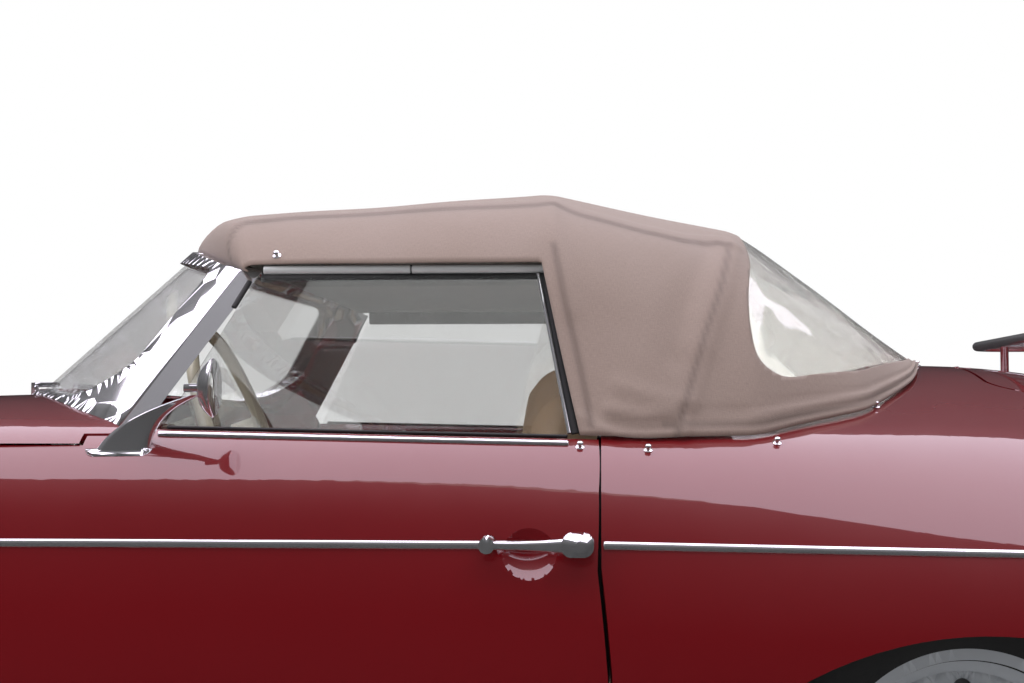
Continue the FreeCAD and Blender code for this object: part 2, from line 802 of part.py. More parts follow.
def hinge_barrels(edge_x, direction, z):
    """Hinge barrels in the gap at a lid's edge, with the leaves that carry the lid."""
    axis_x = edge_x + direction * panel_gap / 2
    barrel = cylinder(panel_gap / 2 - seat_gap, vec(axis_x, hinge_y - 30, z), vec(axis_x, hinge_y + 30, z))
    leaf = box(min(axis_x, edge_x - direction * 20), max(axis_x, edge_x - direction * 20),
               hinge_y - 30, hinge_y + 30, z - 2, z)
    left = barrel.fuse(leaf)
    return [left, mirrored(left)]


front_hinge_z = deck_top_z(outer, front_lid_rear_x) - front_hinge_drop
front_lid = front_skin.common(lid_block(lid_points, 0, 60))
front_lid = join(front_lid, *hinge_barrels(front_lid_rear_x, -1, front_hinge_z))
front_lid_room = lid_block(lid_points, panel_gap, 60)
firewall = inner.common(box(firewall_x, firewall_x + 8, -cabin_half_width, cabin_half_width, 0, far))
front_shell = join(front_skin, cowl, firewall)
front_aperture = aperture.cut(box(cowl_rear_x + panel_gap, far, 0, far, cowl_door_z + panel_gap, far))
front_cuts = [front_arches, front_house_room.common(low_space), front_lid_room, front_aperture, mirrored(front_aperture)]
front_shell = front_shell.cut(front_cuts)
pillars = both_sides(pillar_block).common(outer)
front_shell = join(front_shell, *pillars.Solids)
save("front_shell", front_shell)
save("front_lid", front_lid)

# Rear shell: the quarters, the deck under the fabric top and the tail
rear_region = box(-far, door_rear_x - door_rear_lean - panel_gap, -far, far, 0, far)
rear_top_region = box(door_rear_x - 60, door_rear_x - panel_gap, -far, far, door_bottom_z, far)
rear_region = join(rear_region, rear_top_region)
rear_arch_points = [(-345, 150), (-335, 330), (-262, 481), (0, 554), (262, 481), (335, 330), (345, 150)]


def rear_arch():
    """Flat-topped arch of the rear wing as a block along Y."""
    p = [vec(rear_axle_x + x, 0, z) for x, z in rear_arch_points]
    corner_a = vec(rear_axle_x - 312, 0, 418)
    corner_b = vec(rear_axle_x + 312, 0, 418)
    edges = [
        Part.makeLine(p[0], p[1]),
        Part.Arc(p[1], corner_a, p[2]).toShape(),
        Part.Arc(p[2], p[3], p[4]).toShape(),
        Part.Arc(p[4], corner_b, p[5]).toShape(),
        Part.makeLine(p[5], p[6]),
        Part.makeLine(p[6], p[0]),
    ]
    block = Part.Face(Part.Wire(edges)).extrude(vec(0, 500, 0))
    block.translate(vec(0, rear_inner_y, 0))
    return block


rear_inner_y = rear_track / 2 - tyre_width / 2 - 36
rear_house_room = both_sides(cylinder(house_radius + 7, vec(rear_axle_x, rear_inner_y - 7, axle_z), vec(rear_axle_x, 720, axle_z)))
engine_lid_points = [
    (engine_lid_front_x, engine_lid_half_width),
    (engine_lid_rear_x, engine_lid_tail_half_width),
    (engine_lid_rear_x, -engine_lid_tail_half_width),
    (engine_lid_front_x, -engine_lid_half_width),
]
rear_skin = skin.common(rear_region)
engine_lid = rear_skin.common(lid_block(engine_lid_points, 0, 70))
engine_hinge_z = deck_top_z(outer, engine_lid_front_x) - engine_hinge_drop
engine_lid = join(engine_lid, *hinge_barrels(engine_lid_front_x, 1, engine_hinge_z))
engine_lid_room = lid_block(engine_lid_points, panel_gap, 70)
engine_pit = box(rear_axle_x - 840, rear_axle_x + 330, -engine_bay_half_width, engine_bay_half_width, 0, floor_z + 90)
rear_bulkhead = inner.common(box(bulkhead_x, bulkhead_x + 10, -cabin_half_width, cabin_half_width, 0, 720))
rear_shelf = inner.common(box(rear_axle_x - 60, bulkhead_x + 10, -cabin_half_width, cabin_half_width, 710, 720))
rear_shell = join(rear_skin.cut(void), rear_bulkhead, rear_shelf)
rear_shell = rear_shell.cut([both_sides(rear_arch()), rear_house_room, engine_lid_room, engine_pit] + apertures)
grille_points = [(grille_front_x, grille_half_width), (grille_rear_x, grille_half_width),
                 (grille_rear_x, -grille_half_width), (grille_front_x, -grille_half_width)]
grille_layer = hollow(body_form(-grille_stand), body_form(wall - grille_stand, pan_thickness))
slots = []
slot_pitch = 2 * (grille_half_width - grille_rim) / grille_bars
for i in range(grille_bars):
    slot_y = -grille_half_width + grille_rim + slot_pitch * (i + 0.5)
    slots.append(box(grille_rear_x + grille_rim, grille_front_x - grille_rim,
                     slot_y - (slot_pitch - grille_bar) / 2, slot_y + (slot_pitch - grille_bar) / 2, 0, far))
engine_grille = grille_layer.common(lid_block(grille_points, -seat_gap, grille_corner)).cut(slots)
save("rear_shell", rear_shell)
save("engine_lid", engine_lid.cut(lid_block(grille_points, 0, grille_corner)))
save("engine_grille", engine_grille)

# Wheel houses inside the wings
front_house = wheel_house(front_axle_x, front_inner_y, house_radius).common(lining)
rear_house = wheel_house(rear_axle_x, rear_inner_y, house_radius).common(lining)
upper_space = box(-far, far, -far, far, floor_z + pan_thickness + seat_gap, far)
front_house = front_house.common(upper_space)
rear_house = rear_house.common(upper_space)
axle_hole = cylinder(axle_tube_radius + 22, vec(rear_axle_x, 0, axle_z), vec(rear_axle_x, rear_inner_y + 8, axle_z))
rear_house = rear_house.cut(axle_hole)
arm_room = box(front_axle_x - 60, beam_x + 60, front_inner_y - 20, front_inner_y + 20, beam_lower_z - 60, beam_upper_z + 60)
front_house = front_house.cut(arm_room)
save("front_wheel_houses", both_sides(front_house))
save("rear_wheel_houses", both_sides(rear_house))

# Floor with sills and tunnel
floor_front_x = front_door_edge - seat_gap
floor_rear_x = door_rear_x - door_rear_lean - panel_gap + seat_gap
mid_region = box(floor_rear_x, floor_front_x, -far, far, 0, 560)
tunnel = box(floor_rear_x, floor_front_x, -90, 90, floor_z, floor_z + 150)
tunnel = tunnel.makeFillet(40, [e for e in tunnel.Edges if e.Length > 300 and e.CenterOfMass.z > floor_z + 100])
tunnel = tunnel.cut(box(floor_rear_x - 1, floor_front_x + 1, -78, 78, 0, floor_z + 138))
quarter_edge = box(-far, door_rear_x - panel_gap + seat_gap, -far, far, door_bottom_z - seat_gap, far)
foot_well = box(floor_rear_x + 400, far, -foot_well_half_width, foot_well_half_width, floor_z + pan_thickness, far)
sills = outer.common(mid_region).cut(void).cut(apertures + [quarter_edge, foot_well])
jack_hole = cylinder(jack_radius, vec(jack_x, jack_y, 0), vec(jack_x, jack_y, floor_z + jack_depth))
floor_pan = join(sills.cut([box(-far, far, -78, 78, 0, floor_z + 60), both_sides(jack_hole)]), tunnel)
save("floor_pan", floor_pan)

# Doors with their glass, handles and mirror
door_left = outer.common(door_left_block).cut(void)
cowl_over_door = box(cowl_rear_x - 1, far, 0, far, cowl_door_z, far)
belt_slope = (belt_z_front - belt_z_rear) / (pillar_foot_rear_x - door_rear_x)


def belt_z(x):
    """Height of the doors' top edge at x."""
    return belt_z_rear + (x - door_rear_x) * belt_slope


def above_belt(rise):
    """Left half space over the belt line, raised by the given height."""
    reach = 300
    ends = (door_rear_x - reach, door_front_x + reach)
    corners = [vec(x, 0, belt_z(x) + rise) for x in ends] + [vec(x, 0, 1400) for x in reversed(ends)]
    return Part.Face(Part.makePolygon(corners + corners[:1])).extrude(vec(0, far, 0))


def skin_y(x, z):
    """How far out the body's skin is at x and z on the left."""
    probe = Part.makeLine(vec(x, 400, z), vec(x, 1200, z))
    return max(v.Point.y for v in outer.common(probe).Vertexes)


recess_centre = vec(handle_x + recess_shift, skin_y(handle_x, handle_z) + recess_lift, handle_z - 2)
finger_recess = Part.makeSphere(recess_radius, recess_centre)
door_left = door_left.cut([cowl_over_door, above_belt(0), door_step, finger_recess])
save("door_left", door_left)
save("door_right", mirrored(door_left))

post_foot_x = side_window_rear_x - window_sweep_gap
post_head_x = side_window_rear_top_x - window_sweep_gap
glass_points = [
    (pillar_foot_rear_x - 2, belt_z_front - 3),
    (front_axle_x - 1064, glass_top_z),
    (side_window_rear_top_x, glass_top_z),
    (side_window_rear_x, belt_z_rear - 3),
]
glass_face = Part.Face(Part.makePolygon([vec(x, 0, z) for x, z in glass_points + glass_points[:1]]))
glass_cover = glass_face.extrude(vec(0, far, 0))


def leaning_sheet(thickness, shift=0):
    """Sheet along the side window's plane, leaning inwards to the top, shifted outwards."""
    low = -60
    high = 1.2
    rise = glass_top_z - belt_z_rear
    lean = glass_top_y - glass_foot_y
    rows = []
    for share in (low / rise, high):
        rows.append((glass_foot_y + shift + lean * share, belt_z_rear + rise * share))
    points = [
        vec(-far, rows[0][0], rows[0][1]), vec(-far, rows[0][0] + thickness, rows[0][1]),
        vec(-far, rows[1][0] + thickness, rows[1][1]), vec(-far, rows[1][0], rows[1][1]),
        vec(-far, rows[0][0], rows[0][1]),
    ]
    return Part.Face(Part.makePolygon(points)).extrude(vec(2 * far, 0, 0))


door_glass = leaning_sheet(door_glass_thickness).common(glass_cover).cut(door_left)
save("door_glass_left", door_glass)
save("door_glass_right", mirrored(door_glass))


def door_handle():
    """Bow handle that widens to its lock housing, with the push button and the seats under both ends."""
    front_x = handle_x + handle_length / 2
    rear_x = handle_x - handle_length / 2
    base_y = skin_y(handle_x, handle_z)
    grip_y = base_y + handle_reach
    sections = []
    for x, half_height, half_depth in ((front_x - 10, 6, 5), (handle_x + 10, 6.5, 6), (rear_x + 40, 10, 8)):
        corners = [(grip_y - half_depth, handle_z - half_height), (grip_y + half_depth, handle_z - half_height),
                   (grip_y + half_depth, handle_z + half_height), (grip_y - half_depth, handle_z + half_height)]
        face = outline_face(corners, half_depth * 0.9)
        face.rotate(vec(0, 0, 0), vec(0, 0, 1), 90)
        face.translate(vec(x, 0, 0))
        sections.append(face.OuterWire)
    grip = Part.makeLoft(sections, True, False)
    front_foot = cylinder(11, vec(front_x - 12, base_y - 20, handle_z), vec(front_x - 12, grip_y + 5, handle_z))
    housing_outline = [(rear_x, handle_z - 15), (rear_x + 44, handle_z - 15), (rear_x + 44, handle_z + 15), (rear_x, handle_z + 15)]
    housing = outline_face(housing_outline, 14, base_y - 20).extrude(vec(0, 20 + handle_reach + 8, 0))
    button = cylinder(9.5, vec(rear_x + 15, grip_y, handle_z), vec(rear_x + 15, grip_y + 14, handle_z))
    front_foot = front_foot.makeFillet(5, front_foot.Edges[-1:])
    return join(grip, front_foot, housing, button).cut(seat_form)


handle = door_handle()
save("door_handle_left", handle)
save("door_handle_right", mirrored(handle))


def mirror_left():
    """Round mirror with a domed back, on a raked horn that widens to its foot on the left door."""
    wires = []
    for x, y, z, half_length, half_width in mirror_sections:
        outline = [(x + half_length, z), (x - half_length, z), (x - half_length, z + 2 * half_width), (x + half_length, z + 2 * half_width)]
        face = outline_face(outline, half_width * 0.96)
        face.rotate(vec(x, 0, z), vec(1, 0, 0), 90)
        face.translate(vec(0, y + half_width, 0))
        wires.append(face.OuterWire)
    horn = Part.makeLoft(wires, True, False)
    plate_outline = outline_face([(mirror_foot_x + 50, -17), (mirror_foot_x - 50, -17), (mirror_foot_x - 50, 17), (mirror_foot_x + 50, 17)], 16)
    plate_outline.rotate(vec(0, 0, 0), vec(1, 0, 0), 90)
    plate = plate_outline.extrude(vec(0, 0, 60))
    plate.translate(vec(0, mirror_sections[0][1], mirror_sections[0][2] - 40))
    plate = plate.common(body_form(-seat_gap - mirror_plate))
    tip = mirror_sections[-1]
    centre = vec(mirror_head_x, tip[1] + 8, tip[2] + 10)
    joint_ball = cylinder(6, vec(tip[0] + 14, centre.y, centre.z), centre)
    back = Part.Arc(vec(0, mirror_radius, 0), vec(13, mirror_radius * 0.72, 0), vec(20, 0.01, 0)).toShape()
    front_points = [vec(20, 0.01, 0), vec(-3, 0.01, 0), vec(-3, mirror_radius - 3, 0), vec(0, mirror_radius, 0)]
    edges = [back] + [Part.makeLine(a, b) for a, b in zip(front_points, front_points[1:])]
    head = Part.Face(Part.Wire(edges)).revolve(vec(0, 0, 0), vec(1, 0, 0), 360)
    head.translate(centre)
    return join(horn, plate, joint_ball, head).cut(seat_form)


save("mirror_left", mirror_left())

# Windscreen, its frame and the wipers
screen_frame = screen_sheet(0, screen_frame_depth, 0.18).cut(screen_opening(0)).cut(seat_form)
screen_frame = screen_frame.cut(box(-far, far, -far, far, 0, cowl_door_z + 12))
save("windscreen_frame", screen_frame)
glass_inset = (screen_frame_depth - screen_glass_thickness) / 2
screen_glass = screen_sheet(-glass_inset, screen_glass_thickness, 0.18).common(screen_opening(-seat_gap))
save("windscreen_glass", screen_glass.cut(seat_form))

# Fabric top and its rear window
top_shell = hollow(top_form(0), top_form(cloth, hem_depth))
side_window_points = [
    (post_foot_x, 0), (post_foot_x, belt_z_rear), (post_head_x, side_window_top_z),
    (far, side_window_top_z), (far, 0), (post_foot_x, 0),
]
side_window = Part.Face(Part.makePolygon([vec(x, -far, z) for x, z in side_window_points])).extrude(vec(0, 2 * far, 0))
screen_side = screen_sheet(far, far + screen_frame_depth + seat_gap, 2, 1)
rear_window_points = [
    (rear_window_top_x, -rear_window_half_width * 0.86), (rear_window_top_x, rear_window_half_width * 0.86),
    (rear_window_bottom_x, rear_window_half_width * 0.55), (rear_window_bottom_x, -rear_window_half_width * 0.55),
]


def rear_window_block(grow):
    """Upright block with the rear window's plan outline, grown by an edge."""
    face = outline_face(rear_window_points, 70)
    face.rotate(vec(0, 0, 0), vec(1, 0, 0), 90)
    wire = face.OuterWire
    if grow:
        wire = wire.makeOffset2D(grow)
    block = Part.Face(wire).extrude(vec(0, 0, 700))
    block.translate(vec(0, 0, 860))
    return block


over_door = box(door_rear_x - panel_gap - 8, far, -far, far, 0, belt_z_rear + panel_gap)
soft_top = top_shell.cut([side_window, screen_side, seat_form, rear_window_block(0), over_door])
soft_top = max(soft_top.Solids, key=lambda piece: piece.Volume)
save("soft_top", soft_top)
window_layer = hollow(top_form((cloth - rear_window_thickness) / 2), top_form((cloth + rear_window_thickness) / 2, hem_depth))
rear_window = window_layer.common(rear_window_block(-seat_gap))
save("rear_window", rear_window)

# Frame of the top: a side rail above each window with the post behind it
rail_front_x = screen_head_side_x - screen_frame_depth - 2
rail_points = [
    (rail_front_x, glass_top_z - 8), (rail_front_x, glass_top_z - 8 + rail_height),
    (post_head_x - rail_depth, glass_top_z - 8 + rail_height), (post_head_x - rail_depth, glass_top_z - 8),
]
post_points = [
    (post_head_x, glass_top_z - 8 + rail_height), (post_foot_x, belt_z_rear + panel_gap),
    (post_foot_x - rail_depth, belt_z_rear + panel_gap), (post_head_x - rail_depth, glass_top_z - 8 + rail_height),
]


def window_bar(points, shift):
    """Bar of the top's frame with an outline in XZ, along the side window's plane."""
    face = Part.Face(Part.makePolygon([vec(x, 0, z) for x, z in points + points[:1]]))
    return leaning_sheet(rail_depth, shift).common(face.extrude(vec(0, far, 0)))


rail = window_bar(rail_points, -rail_inset)
post = window_bar(post_points, door_glass_thickness - rail_depth)
save("top_rails", both_sides(join(rail, post)))

# Bumpers
save("front_bumper", bumper(bumper_front_x, bumper_front_z, 1))
save("rear_bumper", bumper(bumper_rear_x, bumper_rear_z, -1))

# Lamps


def lamp(x, y, z, radius, length, dome, direction):
    """Round lamp along X: bowl, rim and a domed lens towards the given direction."""
    rim = radius * 0.9
    ball = (rim ** 2 + dome ** 2) / (2 * dome)
    half_turn = math.asin(rim / ball) / 2
    lens_middle = vec(2 * dome - ball * (1 - math.cos(half_turn)), ball * math.sin(half_turn), 0)
    lens = Part.Arc(vec(dome, rim, 0), lens_middle, vec(dome * 2, 0, 0)).toShape()
    rim_arc = Part.Arc(vec(-dome, radius, 0), vec(dome * 0.55, radius * 0.99, 0), vec(dome, rim, 0)).toShape()
    back = [vec(dome * 2, 0, 0), vec(-length, 0, 0), vec(-length, radius * 0.9, 0), vec(-dome, radius, 0)]
    edges = [rim_arc, lens] + [Part.makeLine(a, b) for a, b in zip(back, back[1:])]
    turned = Part.Face(Part.Wire(edges)).revolve(vec(0, 0, 0), vec(1, 0, 0), 360)
    if direction < 0:
        turned.rotate(vec(0, 0, 0), vec(0, 0, 1), 180)
    turned.translate(vec(x, y, z))
    return both_sides(max(turned.cut(seat_form).Solids, key=lambda piece: piece.Volume))


save("headlamps", lamp(headlamp_x, headlamp_y, headlamp_z, headlamp_radius, 120, 15, 1))
save("tail_lamps", lamp(tail_lamp_x, tail_lamp_y, tail_lamp_z, tail_lamp_radius, 90, 9, -1))

# Suspension, engine and exhaust
save("front_axle", front_axle())
save("rear_axle", rear_axle())
engine = box(engine_front_x - engine_length, engine_front_x, -engine_width / 2, engine_width / 2,
             engine_bottom_z, engine_bottom_z + engine_height)
save("engine_block", engine)
muffler_x = engine_front_x - engine_length - 70
muffler = cylinder(62, vec(muffler_x, -260, 255), vec(muffler_x, 260, 255))
tail_pipe = cylinder(18, vec(muffler_x, 190, 240), vec(bumper_rear_x + 120, 190, 225))
inlet = cylinder(22, vec(engine_front_x - engine_length - seat_gap, 150, 265), vec(muffler_x, 150, 265))
save("exhaust", join(muffler, tail_pipe, inlet, mirrored(tail_pipe), mirrored(inlet)))

# Wheels
for name, x, y in (("front_left", front_axle_x, front_track / 2), ("front_right", front_axle_x, -front_track / 2),
                   ("rear_left", rear_axle_x, rear_track / 2), ("rear_right", rear_axle_x, -rear_track / 2)):
    side = math.copysign(1, y)
    save("tyre_" + name, tyre_shape(x, y))
    save("rim_" + name, rim_shape(x, y, side))
save("knuckle_left", knuckle(1))
save("knuckle_right", knuckle(-1))

# Cabin
save("seat_left", seat(seat_y))
save("seat_right", seat(-seat_y))
save("steering_wheel", steering_wheel())
dash = box(dash_face_x, screen_foot_x, -cabin_half_width + 2, cabin_half_width - 2, belt_z_rear - dash_height, 900)
dash = dash.common(inner).common(void)
column_hole = steering_placed(Part.makeCylinder(column_radius + seat_gap, column_length + 30))
bezels = []
for y, radius in ((steering_y - gauge_spacing, gauge_side_radius), (steering_y, gauge_radius), (steering_y + gauge_spacing, gauge_side_radius)):
    bezel = cylinder(radius, vec(dash_face_x - gauge_stand, y, gauge_z), vec(dash_face_x + 20, y, gauge_z))
    bezels.append(bezel.cut(cylinder(radius - 6, vec(dash_face_x - gauge_stand - 1, y, gauge_z), vec(dash_face_x - 3, y, gauge_z))))
dash = join(dash, *bezels).cut([box(dash_face_x + dash_depth, far, -far, far, 0, belt_z_rear - 30), column_hole])
save("dashboard", dash)

# Luggage rack and wipers
save("luggage_rack", luggage_rack(seat_form))


def wiper(pivot_y, tip_y):
    """Wiper that lies along the foot of the windscreen, from its pivot on the cowl to its tip."""
    share = 0.12
    foot = (screen_foot_x, screen_foot_z, screen_foot_side_x, screen_foot_side_y, screen_foot_side_z)
    head = (screen_head_x, screen_head_z, screen_head_side_x, screen_head_side_y, screen_head_side_z)
    row = [f + (h - f) * share for f, h in zip(foot, head)]
    circle = screen_arc(*row).Curve
    ahead = (vec(row[0], 0, row[1]) - circle.Center).normalize()
    points = []
    for y in (pivot_y, (pivot_y + tip_y) / 2, tip_y):
        reach = math.sqrt(circle.Radius ** 2 - y ** 2)
        points.append(circle.Center + ahead * reach + vec(wiper_radius * 2, y, 0))
    path = Part.Wire([Part.Arc(*points).toShape()])
    section = Part.Wire(Part.makeCircle(wiper_radius, points[0], path.Edges[0].tangentAt(path.Edges[0].FirstParameter)))
    blade = path.makePipeShell([section], True, True)
    pivot = points[0] + vec(wiper_pivot_reach, 0, 0)
    post = cylinder(7, vec(pivot.x, pivot_y, pivot.z - 60), vec(pivot.x, pivot_y, pivot.z + 4))
    link = cylinder(wiper_radius + 1, pivot, points[0])
    return join(blade, post, link).cut(seat_form)


save("wipers", Part.makeCompound([wiper(40, 320), wiper(-330, -50)]))
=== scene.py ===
"""Dresses the two-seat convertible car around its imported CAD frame: finishes, fabric top, seats, trim and stage."""
import json
import logging
import math
from collections.abc import Callable
from dataclasses import dataclass, field
from enum import Enum
from functools import cache

import bmesh
import bpy
from mathutils import Matrix, Vector
from mathutils.bvhtree import BVHTree

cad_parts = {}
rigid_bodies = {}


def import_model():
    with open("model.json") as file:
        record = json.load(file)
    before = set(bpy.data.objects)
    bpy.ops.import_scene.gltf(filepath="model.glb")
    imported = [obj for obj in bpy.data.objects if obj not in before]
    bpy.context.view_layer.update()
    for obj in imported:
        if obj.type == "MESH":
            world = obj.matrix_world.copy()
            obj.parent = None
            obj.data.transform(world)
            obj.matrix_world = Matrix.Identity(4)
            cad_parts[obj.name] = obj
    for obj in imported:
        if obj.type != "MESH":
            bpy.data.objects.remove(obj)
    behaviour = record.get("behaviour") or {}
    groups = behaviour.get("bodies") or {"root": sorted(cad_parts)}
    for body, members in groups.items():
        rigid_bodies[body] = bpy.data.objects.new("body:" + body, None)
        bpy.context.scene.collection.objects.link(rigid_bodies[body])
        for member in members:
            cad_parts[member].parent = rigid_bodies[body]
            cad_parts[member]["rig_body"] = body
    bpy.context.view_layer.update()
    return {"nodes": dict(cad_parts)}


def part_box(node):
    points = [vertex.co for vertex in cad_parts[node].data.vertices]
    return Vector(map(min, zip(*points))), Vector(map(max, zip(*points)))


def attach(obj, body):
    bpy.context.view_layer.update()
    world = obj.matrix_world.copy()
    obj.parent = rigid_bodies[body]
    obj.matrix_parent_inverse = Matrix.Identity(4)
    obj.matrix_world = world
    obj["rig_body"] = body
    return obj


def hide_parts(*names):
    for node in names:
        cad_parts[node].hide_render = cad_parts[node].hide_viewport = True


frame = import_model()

LOG = logging.getLogger("convertible")
MM = 0.001
FLOAT_SOCKET = "NodeSocketFloat"
VECTOR_SOCKET = "NodeSocketVector"

Point = tuple[float, float, float]
Colour = tuple[float, float, float]
Pair = tuple[float, float]


def rgba(colour: Colour) -> tuple[float, float, float, float]:
    """A linear colour with full alpha."""
    return (*colour, 1.0)


def deselect() -> None:
    """Deselects every object, so that an operator acts on its own piece alone."""
    for chosen in list(bpy.context.selected_objects):
        chosen.select_set(False)


def activate(piece: bpy.types.Object) -> bpy.types.Object:
    """Makes one piece the only selected and the active one."""
    deselect()
    piece.select_set(True)
    bpy.context.view_layer.objects.active = piece
    return piece


class NodeBench:
    """Places and links the shader nodes of one tree."""

    def __init__(self, tree: bpy.types.NodeTree) -> None:
        """Takes the tree that the nodes go into."""
        self.tree = tree

    def add(self, kind: str, settings: dict | None = None, **inputs: object) -> bpy.types.Node:
        """Adds one node.

        Args:
            kind: The node's type name.
            settings: Its own properties by name.
            inputs: Socket values or links, with underscores for spaces in the names.

        Returns:
            The new node.
        """
        node = self.tree.nodes.new(kind)
        for name, value in (settings or {}).items():
            setattr(node, name, value)
        for name, value in inputs.items():
            self.set(node, name.replace("_", " "), value)
        return node

    def set(self, node: bpy.types.Node, name: str | int, value: object) -> None:
        """Gives a socket a plain value, or links another node's socket to it."""
        socket = node.inputs[int(name)] if str(name).isdigit() else node.inputs[name]
        if isinstance(value, bpy.types.NodeSocket):
            self.tree.links.new(value, socket)
        else:
            socket.default_value = value

    def math(self, operation: str, first: object, second: object = 0.0) -> bpy.types.NodeSocket:
        """One math node's result."""
        node = self.add("ShaderNodeMath", {"operation": operation})
        self.set(node, "0", first)
        self.set(node, "1", second)
        return node.outputs[0]

    def mix(self, factor: object, first: object, second: object) -> bpy.types.NodeSocket:
        """Mixes two colours by a factor."""
        node = self.add("ShaderNodeMix", {"data_type": "RGBA"})
        self.set(node, "0", factor)
        self.set(node, "6", first)
        self.set(node, "7", second)
        return node.outputs[2]

    def ramp(self, factor: object, low: float, high: float, out_low: float = 0.0,
             out_high: float = 1.0) -> bpy.types.NodeSocket:
        """Maps one range of a value onto another, clamped."""
        node = self.add("ShaderNodeMapRange")
        self.set(node, "Value", factor)
        for name, value in (("From Min", low), ("From Max", high), ("To Min", out_low), ("To Max", out_high)):
            node.inputs[name].default_value = value
        return node.outputs[0]


def emptied_bench(owner: bpy.types.Material | bpy.types.World) -> NodeBench:
    """Clears the node tree of a material or a world, and returns the bench for it."""
    owner.use_nodes = True
    owner.node_tree.nodes.clear()
    return NodeBench(owner.node_tree)


def effect_group(name: str, inputs: dict[str, tuple[str, float | None]], outputs: dict[str, str]) -> tuple[
        bpy.types.NodeTree, NodeBench, bpy.types.Node, bpy.types.Node]:
    """Starts a shader node group with named sockets.

    Args:
        name: The group's name.
        inputs: Socket type and starting value by socket name.
        outputs: Socket type by socket name.

    Returns:
        The group, its bench, its input node and its output node.
    """
    group = bpy.data.node_groups.new(name, "ShaderNodeTree")
    for label, (kind, value) in inputs.items():
        socket = group.interface.new_socket(name=label, in_out="INPUT", socket_type=kind)
        if value is not None:
            socket.default_value = value
    for label, kind in outputs.items():
        group.interface.new_socket(name=label, in_out="OUTPUT", socket_type=kind)
    bench = NodeBench(group)
    return group, bench, bench.add("NodeGroupInput"), bench.add("NodeGroupOutput")


class Effects:
    """Shader node groups that several finishes share, each built once."""

    def __init__(self) -> None:
        """Builds every shared effect."""
        self.mottle = self.build_mottle()
        self.dust = self.build_dust()
        self.weave = self.build_weave()
        self.grain = self.build_grain()

    @staticmethod
    def build_mottle() -> bpy.types.NodeTree:
        """Slow cloudy variation about one, for colours and roughness."""
        group, bench, into, out = effect_group(
            "mottle", {"Vector": (VECTOR_SOCKET, None), "Scale": (FLOAT_SOCKET, 6.0), "Amount": (FLOAT_SOCKET, 0.1)},
            {"Value": FLOAT_SOCKET})
        noise = bench.add("ShaderNodeTexNoise", Vector=into.outputs["Vector"], Scale=into.outputs["Scale"], Detail=4.0)
        centred = bench.math("SUBTRACT", noise.outputs[0], 0.5)
        swing = bench.math("MULTIPLY", centred, into.outputs["Amount"])
        bench.set(out, "Value", bench.math("ADD", bench.math("MULTIPLY", swing, 2.0), 1.0))
        return group

    @staticmethod
    def build_dust() -> bpy.types.NodeTree:
        """Mask of fine dust that lies on what faces upwards."""
        group, bench, into, out = effect_group(
            "dust", {"Vector": (VECTOR_SOCKET, None), "Amount": (FLOAT_SOCKET, 0.3)}, {"Mask": FLOAT_SOCKET})
        normal = bench.add("ShaderNodeNewGeometry").outputs["Normal"]
        up = bench.add("ShaderNodeSeparateXYZ", Vector=normal).outputs["Z"]
        upward = bench.ramp(up, 0.2, 1.0)
        patches = bench.add("ShaderNodeTexNoise", Vector=into.outputs["Vector"], Scale=9.0, Detail=6.0).outputs[0]
        cover = bench.math("MULTIPLY", upward, bench.ramp(patches, 0.35, 0.75))
        bench.set(out, "Mask", bench.math("MULTIPLY", cover, into.outputs["Amount"]))
        return group

    @staticmethod
    def build_weave() -> bpy.types.NodeTree:
        """Plain weave: heights of crossing threads and their uneven shade, on a map measured in metres."""
        group, bench, into, out = effect_group(
            "weave", {"Vector": (VECTOR_SOCKET, None), "Pitch": (FLOAT_SOCKET, 0.0016)},
            {"Height": FLOAT_SOCKET, "Shade": FLOAT_SOCKET})
        split = bench.add("ShaderNodeSeparateXYZ", Vector=into.outputs["Vector"])
        turns = bench.math("DIVIDE", 2 * math.pi, into.outputs["Pitch"])
        across = bench.math("SINE", bench.math("MULTIPLY", split.outputs["X"], turns))
        along = bench.math("SINE", bench.math("MULTIPLY", split.outputs["Y"], turns))
        crossing = bench.math("MULTIPLY", across, along)
        stretched = []
        for scale in ((90.0, 900.0, 90.0), (900.0, 90.0, 90.0)):
            mapping = bench.add("ShaderNodeMapping", Vector=into.outputs["Vector"], Scale=scale)
            noise = bench.add("ShaderNodeTexNoise", Vector=mapping.outputs[0], Scale=1.0, Detail=3.0)
            stretched.append(noise.outputs[0])
        slubs = bench.math("ADD", stretched[0], stretched[1])
        bench.set(out, "Height", bench.math("ADD", bench.math("MULTIPLY", crossing, 0.35), slubs))
        bench.set(out, "Shade", bench.math("SUBTRACT", slubs, 1.0))
        return group

    @staticmethod
    def build_grain() -> bpy.types.NodeTree:
        """Pebbled grain of leather or moulded plastic, as a height."""
        group, bench, into, out = effect_group(
            "grain", {"Vector": (VECTOR_SOCKET, None), "Scale": (FLOAT_SOCKET, 700.0)}, {"Height": FLOAT_SOCKET})
        where = {"Vector": into.outputs["Vector"], "Scale": into.outputs["Scale"]}
        cells = bench.add("ShaderNodeTexVoronoi", {"feature": "SMOOTH_F1"}, **where)
        noise = bench.add("ShaderNodeTexNoise", Detail=3.0, **where)
        fine = bench.math("MULTIPLY", noise.outputs[0], 0.4)
        bench.set(out, "Height", bench.math("ADD", cells.outputs["Distance"], fine))
        return group


EFFECTS = Effects()


